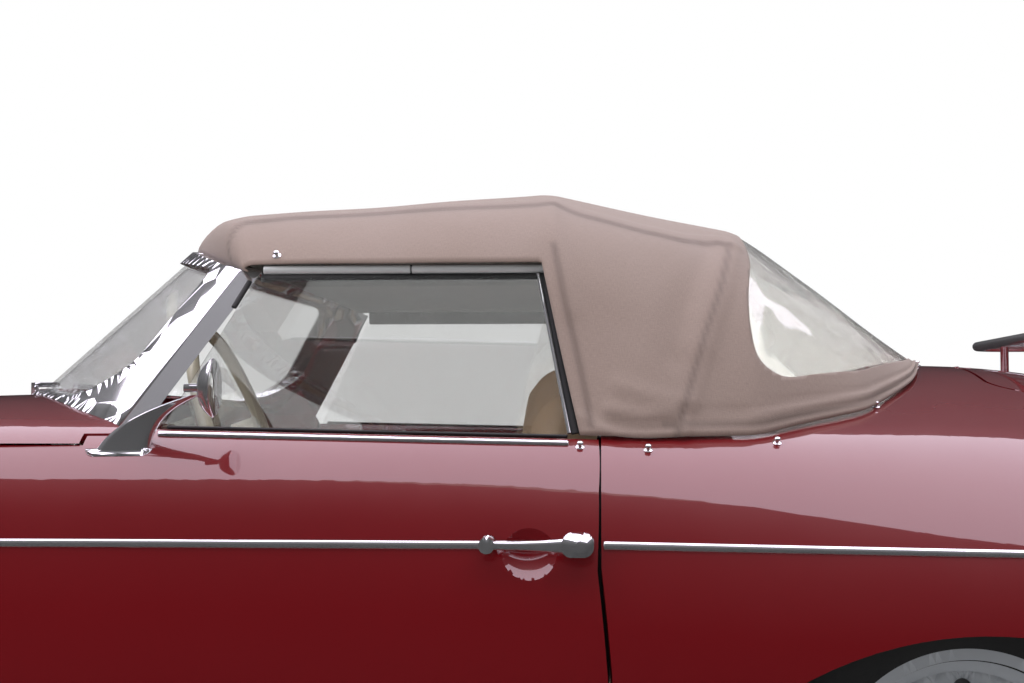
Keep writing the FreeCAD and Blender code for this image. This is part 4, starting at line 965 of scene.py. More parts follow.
def both_sides(left: bpy.types.Object, body: str) -> list[bpy.types.Object]:
    """A left piece, which rides on the body, with its mirrored copy for the car's right side."""
    right = linked(left.name.replace("_left", "_right"), left.data.copy())
    right.data.transform(Matrix.Diagonal((1, -1, 1, 1)))
    right.data.flip_normals()
    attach(right, body.replace("_left", "_right"))
    return [left, right]


class Fold(Enum):
    """How a line on the cloth stands out."""

    SEAM = "a lapped seam with a raised edge"
    STITCH = "a single row of stitches"
    FOLD = "a soft fold"


@dataclass(frozen=True)
class ClothLine:
    """A seam, stitch line or fold on the top, as x and z of the points that it runs through."""

    kind: Fold
    points: tuple[Pair, ...]
    height: float = 0.002
    width: float = 0.012
    seam_edge: float = 0.0012
    seam_groove: float = 0.002
    seam_fall: Pair = (0.014, 0.022)
    stitch_width: float = 0.0025

    def distance(self, x: float, z: float) -> Pair:
        """Distance from a place to the line, and the side that it lies on."""
        best, side = 1e9, 1.0
        for (ax, az), (bx, bz) in zip(self.points, self.points[1:]):
            dx, dz = bx - ax, bz - az
            t = min(max(((x - ax) * dx + (z - az) * dz) / (dx * dx + dz * dz), 0.0), 1.0)
            d = math.hypot(x - ax - t * dx, z - az - t * dz)
            if d < best:
                best, side = d, math.copysign(1.0, (x - ax) * dz - (z - az) * dx)
        return best, side

    def lift(self, x: float, z: float) -> float:
        """How far the cloth stands out at a place."""
        d, side = self.distance(x, z)
        if self.kind is Fold.SEAM:
            rise = smooth_step(side * d, -self.seam_edge, self.seam_edge) * (1 - smooth_step(side * d, *self.seam_fall))
            return self.height * rise - self.seam_edge * bell(d, self.seam_groove)
        if self.kind is Fold.STITCH:
            return -self.height * bell(d, self.stitch_width)
        return self.height * bell(d, self.width)


@dataclass
class FabricTop:
    """The fabric top with its seam lines, folds and hem, and the clear rear window in it.

    A station holds x in metres and, in millimetres, the crown's height, the shoulder's y and z with its slope in
    degrees, and the foot's y and z with its slope.
    """

    stations: tuple[tuple[float, ...], ...] = (
        (0.405, 1136, 420, 1104, -14, 690, 780, -70), (0.235, 1202, 438, 1155, -15, 690, 780, -72),
        (-0.093, 1228, 446, 1170, -16, 690, 780, -72), (-0.285, 1242, 450, 1178, -17, 690, 780, -74),
        (-0.435, 1212, 452, 1134, -19, 686, 780, -78), (-0.601, 1172, 440, 1102, -22, 664, 770, -80),
        (-0.645, 1148, 420, 1074, -24, 640, 770, -80), (-0.775, 1052, 385, 982, -26, 560, 770, -80),
        (-0.890, 968, 270, 926, -22, 400, 800, -78), (-0.960, 930, 110, 915, -12, 190, 850, -70))
    header_x: float = 0.362
    header_side_x: float = 0.19
    header_side_y: float = 0.56
    head_x: float = 0.367
    head_side_y: float = 0.548
    head_z: float = 1.143
    head_sweep: Pair = (0.188, 0.076)
    head_rows: int = 6
    head_ease: float = 1.7
    front_bow_x: float = -0.093
    rear_bow_x: float = -0.60
    rear_x: float = -0.943
    rail_z: float = 1.076
    post_head_x: float = -0.284
    post_foot_x: float = -0.343
    sill_z: float = 0.815
    deck_below_z: float = 1.0
    bow_rounding: float = 0.014
    ends: Pair = (-0.959, 0.404)
    row_step: float = 0.0066
    fine_zone: Pair = (-0.45, -0.2)
    fine_share: float = 0.75
    upper_columns: int = 56
    lower_columns: int = 36
    steps: int = 14
    probe_steps: int = 240
    window_front_x: float = -0.607
    window_hem_gap: float = 0.078
    window_corner: float = 0.06
    window_bulge: float = 0.012
    window_span_z: Pair = (1.08, 0.17)
    window_inset: float = 0.0022
    window_overlap: float = 0.010
    cloth_thickness: float = 0.003
    vinyl_thickness: float = 0.0006
    hem_gap: float = 0.004
    no_hem: float = 9.0
    hem_bead: tuple[float, float, float] = (0.0035, 0.006, 0.006)
    rolled_from: Pair = (0.45, 0.56)
    rolled_beads: tuple[tuple[float, float, float], ...] = (
        (0.0040, 0.026, 0.008), (-0.002, 0.016, 0.004), (-0.002, 0.038, 0.005))
    lines: tuple[ClothLine, ...] = (
        ClothLine(Fold.SEAM, ((0.236, 1.102), (0.199, 1.152), (0.12, 1.161), (-0.073, 1.170), (-0.298, 1.180),
                              (-0.341, 1.161), (-0.431, 1.136), (-0.504, 1.119), (-0.560, 1.117), (-0.576, 1.107)),
                  0.0022),
        ClothLine(Fold.SEAM, ((-0.576, 1.107), (-0.552, 1.03), (-0.526, 0.961), (-0.487, 0.836), (-0.481, 0.81)),
                  0.0022),
        ClothLine(Fold.STITCH, ((-0.302, 1.10), (-0.318, 1.02), (-0.335, 0.95), (-0.352, 0.87), (-0.358, 0.83)),
                  0.0014),
        ClothLine(Fold.FOLD, ((-0.296, 1.18), (-0.305, 1.10), (-0.33, 1.0)), 0.003, 0.016),
        ClothLine(Fold.FOLD, ((-0.576, 1.107), (-0.54, 1.02), (-0.52, 0.95)), 0.006, 0.028),
        ClothLine(Fold.FOLD, ((-0.545, 1.10), (-0.50, 1.0), (-0.485, 0.93)), -0.005, 0.024),
        ClothLine(Fold.FOLD, ((-0.385, 0.852), (-0.43, 0.842), (-0.478, 0.846)), 0.0045, 0.010),
        ClothLine(Fold.FOLD, ((-0.39, 0.832), (-0.44, 0.826), (-0.475, 0.832)), -0.004, 0.008),
        ClothLine(Fold.FOLD, ((-0.40, 0.885), (-0.45, 0.868), (-0.50, 0.862)), 0.004, 0.014),
        ClothLine(Fold.FOLD, ((-0.345, 0.84), (-0.372, 0.825), (-0.40, 0.815)), 0.004, 0.008),
        ClothLine(Fold.FOLD, ((-0.49, 0.845), (-0.53, 0.838), (-0.58, 0.845)), -0.003, 0.009),
    )

    def __post_init__(self) -> None:
        """Works out the stations' section points once."""
        self.deck = body_skin().tree
        self.places = [station[0] for station in self.stations]
        self.sections = []
        for _, crown, shoulder_y, shoulder_z, slope, foot_y, foot_z, foot_slope in self.stations:
            points = [(0.0, crown)] + biarc((0.0, crown), 0.0, (shoulder_y, shoulder_z), slope, self.steps)
            points += biarc((shoulder_y, shoulder_z), slope, (foot_y, foot_z), foot_slope, self.steps)
            self.sections.append([(y * MM, z * MM) for y, z in points])
        self.cross_rows = self.rows()

    def straight_place(self, x: float, v: float) -> Pair:
        """y and z of the bows' straight span at x, a share v of the way down."""
        index = 0
        while index < len(self.places) - 2 and x < self.places[index + 1]:
            index += 1
        share = (self.places[index] - x) / (self.places[index] - self.places[index + 1])
        position = v * (len(self.sections[0]) - 1)
        j = min(int(position), len(self.sections[0]) - 2)
        t = position - j
        pair = []
        for k in (0, 1):
            near = self.sections[index][j][k] * (1 - t) + self.sections[index][j + 1][k] * t
            far = self.sections[index + 1][j][k] * (1 - t) + self.sections[index + 1][j + 1][k] * t
            pair.append(near * (1 - share) + far * share)
        return pair[0], pair[1]

    def place(self, x: float, v: float) -> Vector:
        """Point of the cloth, rounded where it bends over a bow."""
        turns = (-1.0, -0.4, 0.4, 1.0)
        near = [min(max(x + turn * self.bow_rounding, self.ends[0]), self.ends[1]) for turn in turns]
        samples = [self.straight_place(spot, v) for spot in near]
        return Vector((x, sum(s[0] for s in samples) / len(turns), sum(s[1] for s in samples) / len(turns)))

    def row(self, x: float, upper: bool) -> list[tuple[Vector, float]]:
        """One cross row of the cloth from the centre to its edge.

        Args:
            x: The row's place on the centre line.
            upper: Whether the row ends at the side rail.

        Returns:
            Points with their distance from the hem, which is large where there is no hem.
        """
        fade = 1 - smooth_step(x, self.front_bow_x, self.header_x)
        lean = smooth_step(x, self.rear_bow_x, self.post_head_x)
        points: list[Vector] = []
        last = 1.0
        for k in range(self.probe_steps + 1):
            v = k / self.probe_steps
            rough = self.place(x, v)
            bow = (self.header_x - self.header_side_x) * (1 - fade) * (rough.y / self.header_side_y) ** 2
            sink = min(max((self.rail_z - rough.z) / (self.rail_z - self.sill_z), 0.0), 1.0)
            shift = (self.post_foot_x - self.post_head_x) * sink * lean
            spot = self.place(x - bow + (0.0 if upper else shift), v)
            if upper and spot.z < self.rail_z:
                points.append(points[-1].lerp(spot, (points[-1].z - self.rail_z) / (points[-1].z - spot.z)))
                break
            if not upper and spot.z < self.deck_below_z:
                below = self.deck.ray_cast(Vector((spot.x, spot.y, 1.3)), Vector((0, 0, -1)))[0]
                clearance = 1.0 if below is None else spot.z - below.z - self.hem_gap
                if clearance < 0:
                    points.append(points[-1].lerp(spot, last / (last - clearance)))
                    break
                last = clearance
            points.append(spot)
        return self.resample(points, upper)

    def resample(self, points: list[Vector], upper: bool) -> list[tuple[Vector, float]]:
        """Spaces a row's points evenly above the rail's height and again below it."""
        runs = [0.0]
        for a, b in zip(points, points[1:]):
            runs.append(runs[-1] + (b - a).length)
        whole = self.upper_columns + self.lower_columns
        if upper:
            wanted = [runs[-1] * k / self.upper_columns for k in range(self.upper_columns + 1)]
        else:
            rail = next((run for point, run in zip(points, runs) if point.z < self.rail_z), 0.0)
            settled = smooth_step(-points[0].x, -self.post_head_x, 0.46)
            split = rail * (1 - settled) + runs[-1] * self.upper_columns / whole * settled
            wanted = [split * k / self.upper_columns for k in range(self.upper_columns)]
            wanted += [split + (runs[-1] - split) * k / self.lower_columns for k in range(self.lower_columns + 1)]
        spaced, index = [], 0
        for want in wanted:
            while index < len(points) - 2 and runs[index + 1] < want:
                index += 1
            gap = max(runs[index + 1] - runs[index], 1e-9)
            spaced.append(points[index].lerp(points[index + 1], (want - runs[index]) / gap))
        reach = [0.0]
        for a, b in zip(spaced[::-1], spaced[-2::-1]):
            reach.append(reach[-1] + (b - a).length)
        return [(point, self.no_hem if upper else distance) for point, distance in zip(spaced, reach[::-1])]

    def rows(self) -> list[list[tuple[Vector, float]]]:
        """Every cross row from the header to the rear."""
        places = []
        x = self.header_x
        while x > self.rear_x:
            places.append(x)
            fine = self.fine_zone[0] <= x <= self.fine_zone[1]
            x -= self.row_step * (self.fine_share if fine else 1.0)
        head = [x for x in places if x > self.post_head_x]
        rest = [self.post_head_x] + [x for x in places if x < self.post_head_x - 0.004] + [self.rear_x]
        return [self.row(x, True) for x in head] + [self.row(x, False) for x in rest]

    def lift(self, spot: Vector, hem: float) -> float:
        """How far the cloth stands out from its plain form at a place."""
        total = sum(line.lift(spot.x, spot.z) for line in self.lines)
        rolled = smooth_step(-spot.x, *self.rolled_from)
        for share, (height, distance, width) in ((1.0, self.hem_bead), *((rolled, bead) for bead in self.rolled_beads)):
            total += share * height * bell(hem - distance, width)
        return total + 0.0012 * math.sin(spot.x * 21 + spot.z * 9) * math.sin(spot.z * 17 - spot.x * 5)

    def seam_shade(self, spot: Vector, hem: float) -> float:
        """Painted shadow at a place, from 0 to 1, along the seam and stitch lines and the rolled hem's groove."""
        near = min(line.distance(spot.x, spot.z)[0] for line in self.lines if line.kind is not Fold.FOLD)
        edge = bell(hem - 0.0165, 0.0035) if spot.x < -0.46 else 0.0
        return max(bell(near, 0.0052), edge)

    def window_field(self, spot: Vector, hem: float) -> float:
        """Positive inside the rear window, about zero at its edge."""
        top_z, height = self.window_span_z
        down = min(max((top_z - spot.z) / height, 0.0), 1.0)
        front = self.window_front_x - spot.x + self.window_bulge * math.sin(down * math.pi)
        low = hem - self.window_hem_gap
        r = self.window_corner
        if front < r and low < r:
            return r - math.hypot(r - front, r - low)
        return min(front, low)

    def grid(self, offset: float) -> tuple[bmesh.types.BMesh, list[float]]:
        """Left half of the cloth as faces, with each vertex's window field.

        Args:
            offset: Distance that the grid stands off the cloth's form.

        Returns:
            The mesh in the making, with a UV map in metres, and the fields in vertex order.
        """
        work = bmesh.new()
        # Each vertex keeps its painted seam shadow in the seam attribute.
        seam_shadow_layer = work.verts.layers.float.new("seam")
        layer = work.loops.layers.uv.new("metres")
        verts, fields = [], []
        for row in self.cross_rows:
            verts.append([work.verts.new(spot) for spot, _ in row])
            fields += [self.window_field(spot, hem) for spot, hem in row]
        for first, second in zip(verts, verts[1:]):
            for a, b, c, d in zip(first, first[1:], second[1:], second):
                work.faces.new((a, b, c, d))
        bmesh.ops.recalc_face_normals(work, faces=work.faces)
        work.normal_update()
        if sum(face.normal.z for face in work.faces) < 0:
            bmesh.ops.reverse_faces(work, faces=work.faces)
            work.normal_update()
        moves = [vert.normal.copy() for vert in work.verts]
        work.verts.ensure_lookup_table()
        flat = [(spot, hem) for row in self.cross_rows for spot, hem in row]
        for vert, move, (spot, hem) in zip(work.verts, moves, flat):
            if spot.y < 1e-6:
                move = Vector((move.x, 0, move.z)).normalized()
            vert.co += move * (self.lift(spot, hem) + offset)
            vert[seam_shadow_layer] = self.seam_shade(spot, hem)
        self.settle_on_header(verts)
        for face in work.faces:
            for loop in face.loops:
                loop[layer].uv = (loop.vert.co.x, loop.vert.co.y + (self.header_x - loop.vert.co.z))
        return work, fields

    def settle_on_header(self, verts: list[list[bmesh.types.BMVert]]) -> None:
        """Rolls the first rows down onto the windscreen's curved header."""
        for number, row in enumerate(verts[:self.head_rows]):
            roll = ((self.head_rows - number) / self.head_rows) ** self.head_ease
            for vert in row:
                bend = (vert.co.y / self.head_side_y) ** 2
                back, down = (share * bend for share in self.head_sweep)
                vert.co = vert.co.lerp(Vector((self.head_x - back, vert.co.y, self.head_z - down)), roll)

    def cut(self, work: bmesh.types.BMesh, fields: list[float], level: float, keep_window: bool) -> None:
        """Cuts the grid along a level of the window field and keeps one side."""
        value = dict(zip(work.verts, (f - level for f in fields)))
        for edge in list(work.edges):
            a, b = edge.verts
            fa, fb = value[a], value[b]
            if fa * fb < 0 and min(abs(fa), abs(fb)) > 1e-7:
                fresh = bmesh.utils.edge_split(edge, a, fa / (fa - fb))[1]
                value[fresh] = 0.0
        for face in list(work.faces):
            zero = [v for v in face.verts if value[v] == 0.0]
            if len(zero) == 2 and not any(set(zero) == set(e.verts) for e in face.edges):
                bmesh.utils.face_split(face, zero[0], zero[1])
        drop = [face for face in work.faces if (sum(value[v] for v in face.verts) > 0) != keep_window]
        bmesh.ops.delete(work, geom=drop, context="FACES")

    def finish_half(self, work: bmesh.types.BMesh, name: str) -> bpy.types.Object:
        """Makes the half grid a whole, mirrored piece."""
        mesh = bpy.data.meshes.new(name)
        work.to_mesh(mesh)
        work.free()
        piece = linked(name, mesh)
        with_modifier(piece, "both_sides", "MIRROR", use_axis=(False, True, False), use_clip=True,
                      merge_threshold=0.0004)
        for face in piece.data.polygons:
            face.use_smooth = True
        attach(piece, "body")
        return piece

    def build(self) -> list[bpy.types.Object]:
        """Makes the cloth and its clear window.

        Returns:
            The cloth and the window.
        """
        work, fields = self.grid(0.0)
        self.cut(work, fields, 0.0, False)
        cloth = self.finish_half(work, "fabric_top")
        give(cloth, TOP_CLOTH, LINER)
        with_modifier(cloth, "cloth_wall", "SOLIDIFY", thickness=self.cloth_thickness, offset=-1.0, material_offset=1)
        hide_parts("soft_top")
        work, fields = self.grid(-self.window_inset)
        self.cut(work, fields, -self.window_overlap, True)
        window = self.finish_half(work, "clear_rear_window")
        give(window, VINYL)
        with_modifier(window, "vinyl_wall", "SOLIDIFY", thickness=self.vinyl_thickness, offset=-1.0)
        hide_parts("rear_window")
        return [cloth, window]


@dataclass(frozen=True)
class Strip:
    """One half-round strip between two spots, as x and z, on the car's left side, and its twin on the right."""

    name: str
    body: str
    nodes: tuple[str, ...]
    start: Pair
    end: Pair
    profile: Pair
    finish: Finish
    lift: float = 0.0
    count: int = 24


@dataclass
class Trim:
    """Bright strips, black seals and press studs, laid on the CAD's own surfaces."""

    rail_z: float = 1.0662
    rail_ends: Point = (0.144, -0.084, -0.288)
    rail_joint: float = 0.001
    rail_seal_drop: float = 0.0125
    drip_profile: Pair = (0.014, 0.007)
    strip_z: float = 0.667
    strip_low_z: float = 0.647
    strip_ends: tuple[float, ...] = (1.60, 0.66, 0.630, -0.366, -0.376, -1.55)
    strip_profile: Pair = (0.012, 0.0045)
    strip_lift: float = 0.0004
    cowl_gap_z: float = 0.8000
    cowl_ends: Pair = (0.27, 0.627)
    belt_x: float = -0.367
    belt_z: float = 0.809
    belt_slope: float = 0.0218
    post_head: Point = (-0.2785, 0.5665, 1.058)
    post_foot: Point = (-0.3275, 0.6715, 0.817)
    gap_seal_x: float = -0.372
    gap_seal_ends: Pair = (0.42, 0.795)
    gap_seal_depth: float = 0.026
    end_radius: float = 0.0018
    stud_places_px: tuple[Pair, ...] = ((580, 447), (648, 450), (777, 443), (876, 407), (917, 366))
    cloth_stud_px: Pair = (277, 256)
    stud_profile: tuple[Pair, ...] = (
        (0.0, -0.001), (0.0065, -0.001), (0.0065, 0.001), (0.005, 0.002), (0.0026, 0.0025), (0.0024, 0.0052),
        (0.0042, 0.006), (0.0046, 0.0074), (0.0038, 0.0088), (0.002, 0.0096), (0.0, 0.0098))

    @staticmethod
    def laid(tree: BVHTree, spots: list[Pair], lift: float = 0.0) -> tuple[list[Vector], list[Vector]]:
        """Drops x and z spots sideways onto the car's left side.

        Args:
            tree: The surfaces that they may land on.
            spots: The x and z of each point.
            lift: Distance that the points stand off the surface.

        Returns:
            The points and the directions away from the surface.
        """
        path, outs = [], []
        for x, z in spots:
            place, normal, _, _ = tree.ray_cast(Vector((x, 1.2, z)), Vector((0, -1, 0)))
            if place is None:
                continue
            normal = normal if normal.y > 0 else -normal
            path.append(place + normal * lift)
            outs.append(normal)
        return path, outs

    @staticmethod
    def run(start: Pair, end: Pair, count: int) -> list[Pair]:
        """Evenly spaced spots from one x and z to another."""
        (x, z), (end_x, end_z) = start, end
        return [(x + (end_x - x) * i / count, z + (end_z - z) * i / count) for i in range(count + 1)]

    def strip(self, plan: Strip) -> list[bpy.types.Object]:
        """Lays one strip with rounded ends on both sides of the car."""
        path, outs = self.laid(tree_of(*plan.nodes), self.run(plan.start, plan.end, plan.count), plan.lift)
        if len(path) < 2:
            LOG.info("no surface under %s", plan.name)
            return []
        left = sweep(plan.name, path, outs, half_round(*plan.profile), plan.finish, plan.body)
        with_modifier(left, "soft_ends", "BEVEL", width=self.end_radius, segments=3, limit_method="ANGLE",
                      angle_limit=math.radians(60))
        return both_sides(left, plan.body)

    def belt(self, x: float, rise: float) -> Pair:
        """Spot at x that stands a little above or below the belt line."""
        return x, self.belt_z + (x - self.belt_x) * self.belt_slope + rise

    def plans(self) -> tuple[Strip, ...]:
        """The strips and seals that run straight."""
        front, middle, back = self.rail_ends
        rail_z, seal_z = self.rail_z, self.rail_z - self.rail_seal_drop
        nose, cowl, door_front, door_rear, wing, tail = self.strip_ends
        z, low_z, lift = self.strip_z, self.strip_low_z, self.strip_lift
        drip, side = self.drip_profile, self.strip_profile
        rails, door, panes = ("top_rails",), ("door_left",), ("door_left", "door_glass_left")
        return (
            Strip("drip_rail_front_left", "body", rails, (front, rail_z), (middle + self.rail_joint, rail_z), drip,
                  RAIL_ALLOY),
            Strip("drip_rail_rear_left", "body", rails, (middle - self.rail_joint, rail_z), (back, rail_z), drip,
                  RAIL_ALLOY, count=16),
            Strip("side_strip_front_left", "body", ("front_shell",), (cowl, z), (nose, low_z), side, CHROME, lift, 60),
            Strip("side_strip_door_left", "door_left", door, (door_front, z), (door_rear, z), side, CHROME, lift, 60),
            Strip("side_strip_rear_left", "body", ("rear_shell",), (wing, z), (tail, low_z), side, CHROME, lift, 80),
            Strip("belt_strip_left", "door_left", door, self.belt(0.268, -0.007), self.belt(-0.358, -0.007),
                  (0.011, 0.005), CHROME, 0.0002, 40),
            Strip("belt_seal_left", "door_left", panes, self.belt(0.262, 0.003), self.belt(-0.34, 0.003),
                  (0.006, 0.003), RUBBER, 0.0, 40),
            Strip("rail_seal_left", "body", rails, (front - 0.002, seal_z), (back, seal_z), (0.009, 0.003), RUBBER,
                  count=30),
        )

    def build(self) -> list[bpy.types.Object]:
        """Lays every strip, seal and stud.

        Returns:
            The new pieces.
        """
        pillar = Strip("pillar_seal_left", "body", ("windscreen_frame",), (0.268, 0.835), (0.166, 1.05),
                       (0.009, 0.003), RUBBER, count=30)
        made = [piece for plan in self.plans() for piece in self.strip(plan)]
        return made + self.post_strip() + self.strip(pillar) + self.gap_seal() + self.cowl_filler() + self.studs()

    def post_strip(self) -> list[bpy.types.Object]:
        """Bright edge and black seal down the rear edge of each door window."""
        made = []
        head, foot = Vector(self.post_head), Vector(self.post_foot)
        out = Vector((0, foot.z - head.z, head.y - foot.y)).normalized() * -1
        for name, shift, width, finish in (("post_strip_left", 0.0, 0.006, CHROME),
                                           ("post_seal_left", -0.0095, 0.013, RUBBER)):
            path = [head.lerp(foot, i / 24) + Vector((shift, 0, 0)) + out * 0.001 for i in range(25)]
            left = sweep(name, path, [out] * len(path), half_round(width, 0.003), finish, "door_left")
            made += both_sides(left, "door_left")
        return made

    def gap_seal(self) -> list[bpy.types.Object]:
        """Black seal on the body behind each door's rear gap."""
        low, high = self.gap_seal_ends
        path, _ = self.laid(body_skin().tree, self.run((self.gap_seal_x, low), (self.gap_seal_x, high), 40))
        path = [place - Vector((0, self.gap_seal_depth, 0)) for place in path]
        outs = [Vector((0, 1, 0))] * len(path)
        return both_sides(sweep("gap_seal_left", path, outs, flat_profile(0.011, 0.006), RUBBER, "body"), "body")

    def cowl_filler(self) -> list[bpy.types.Object]:
        """Painted filler in the bottom of the gap above each door's front."""
        rear, front = self.cowl_ends
        spots = self.run((rear, self.cowl_gap_z), (front, self.cowl_gap_z), 30)
        path, outs = self.laid(body_skin().tree, spots, -0.003)
        return both_sides(sweep("cowl_filler_left", path, outs, flat_profile(0.004, 0.004), PAINT, "body"), "body")

    def studs(self) -> list[bpy.types.Object]:
        """Turn-button studs below the hem, the foremost one on the door."""
        sight = Sightline()
        bodies = tree_of("rear_shell", "engine_lid")
        made = []
        for number, place_px in enumerate(self.stud_places_px):
            on_door = number == 0
            found = sight.hit(body_skin().tree if on_door else bodies, *place_px)
            if found is not None:
                made += self.stud(f"stud_{number}_left", *found, "door_left" if on_door else "body")
        return made

    def cloth_stud(self, cloth: bpy.types.Object) -> list[bpy.types.Object]:
        """Press stud on the cloth's front corner."""
        mesh = cloth.data
        tree = BVHTree.FromPolygons([vertex.co for vertex in mesh.vertices], [tuple(f.vertices) for f in mesh.polygons])
        found = Sightline().hit(tree, *self.cloth_stud_px)
        return [] if found is None else self.stud("cloth_stud_left", *found, "body")

    def stud(self, name: str, place: Vector, normal: Vector, body: str) -> list[bpy.types.Object]:
        """One press stud: a turned base, neck and round head, on both sides of the car."""
        return both_sides(turned(name, place, normal, self.stud_profile, CHROME, body), body)


@dataclass
class Tyre:
    """One tyre with its road tread and side ribs, spun about the axle of its CAD node."""

    node: str
    tread_steps: int = 216
    groove_depth: float = 0.005
    wall_height: float = 0.136
    tread_share: float = 0.74
    grooves: tuple[float, ...] = (-0.6, -0.2, 0.2, 0.6)
    groove_half: float = 0.0022
    wave: float = 0.0032
    wave_steps: int = 3
    shoulder_share: float = 0.72
    shoulder_reach: float = 0.02
    sipe_depth: float = 0.0025
    sipe_period: int = 6
    sipe_steps: int = 2
    crown_drop: float = 0.006

    def depth(self, step: int, y: float, half: float, tread: bool, shoulder: bool) -> float:
        """How deep a groove or a sipe lies at one step round the tyre."""
        if tread:
            wave = self.wave * (1 if (step // self.wave_steps) % 2 else -1)
            places = (groove * half * self.tread_share + wave for groove in self.grooves)
            return self.groove_depth if any(abs(y - place) < self.groove_half for place in places) else 0.0
        return self.sipe_depth if shoulder and step % self.sipe_period < self.sipe_steps else 0.0

    def build(self) -> bpy.types.Object:
        """Makes the tyre at its node's place.

        Returns:
            The new piece.
        """
        low, high = corners(self.node)
        middle = (low + high) / 2
        outer, half = (high.x - low.x) / 2, (high.y - low.y) / 2
        section = self.section(outer, outer - self.wall_height, half)
        work = bmesh.new()
        rings = []
        for step in range(self.tread_steps):
            turn = 2 * math.pi * step / self.tread_steps
            ring = []
            for y, radius, tread in section:
                shoulder = abs(y) > half * self.shoulder_share and radius > outer - self.shoulder_reach
                reach = radius - self.depth(step, y, half, tread, shoulder)
                ring.append(work.verts.new(middle + Vector((reach * math.cos(turn), y, reach * math.sin(turn)))))
            rings.append(ring)
        for first, second in zip(rings, rings[1:] + rings[:1]):
            for j in range(len(section)):
                k = (j + 1) % len(section)
                work.faces.new((first[j], first[k], second[k], second[j]))
        piece = made_piece(work, self.node + "_tread", body_named(self.node), TYRE_RUBBER, 35.0)
        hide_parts(self.node)
        return piece

    def section(self, outer: float, inner: float, half: float) -> list[tuple[float, float, bool]]:
        """The tyre's closed cross-section as y, radius and whether it is tread."""
        tread_half = half * self.tread_share
        points: list[tuple[float, float, bool]] = []
        for i in range(61):
            y = -tread_half + 2 * tread_half * i / 60
            points.append((y, outer - self.crown_drop * (y / tread_half) ** 4, True))
        wall = []
        for i in range(1, 15):
            t = i / 15
            bulge = math.sin(math.pi * min(t * 1.08, 1.0)) ** 0.7
            y = tread_half + (half - tread_half) * bulge - (tread_half - half * 0.66) * t * t
            rib = 0.0012 if i in (5, 6, 11) else 0.0
            wall.append((y + rib, outer - self.crown_drop - (outer - inner - self.crown_drop) * t, False))
        bead = [(half * 0.62, inner, False), (half * 0.3, inner + 0.004, False)]
        return points + wall + bead + [(-y, radius, False) for y, radius, _ in (wall + bead)[::-1]]


def turned(name: str, place: Vector, axis: Vector, profile: tuple[Pair, ...], finish: Finish, body: str,
           steps: int = 24) -> bpy.types.Object:
    """Turns a profile about an axis.

    Args:
        name: The piece's name.
        place: Foot of the axis.
        axis: The axis.
        profile: Radius and height of each point, from the axis back to the axis.
        finish: Its finish.
        body: The body that it rides on.
        steps: Steps round the axis.

    Returns:
        The new piece.
    """
    turn = axis.normalized().to_track_quat("Z", "Y")
    work = bmesh.new()
    verts = [work.verts.new((radius, 0, height)) for radius, height in profile]
    edges = [work.edges.new(pair) for pair in zip(verts, verts[1:])]
    bmesh.ops.spin(work, geom=verts + edges, cent=(0, 0, 0), axis=(0, 0, 1), angle=2 * math.pi, steps=steps)
    bmesh.ops.remove_doubles(work, verts=work.verts, dist=1e-6)
    bmesh.ops.transform(work, matrix=Matrix.Translation(place) @ turn.to_matrix().to_4x4(), verts=work.verts)
    return made_piece(work, name, body, finish, 40.0)


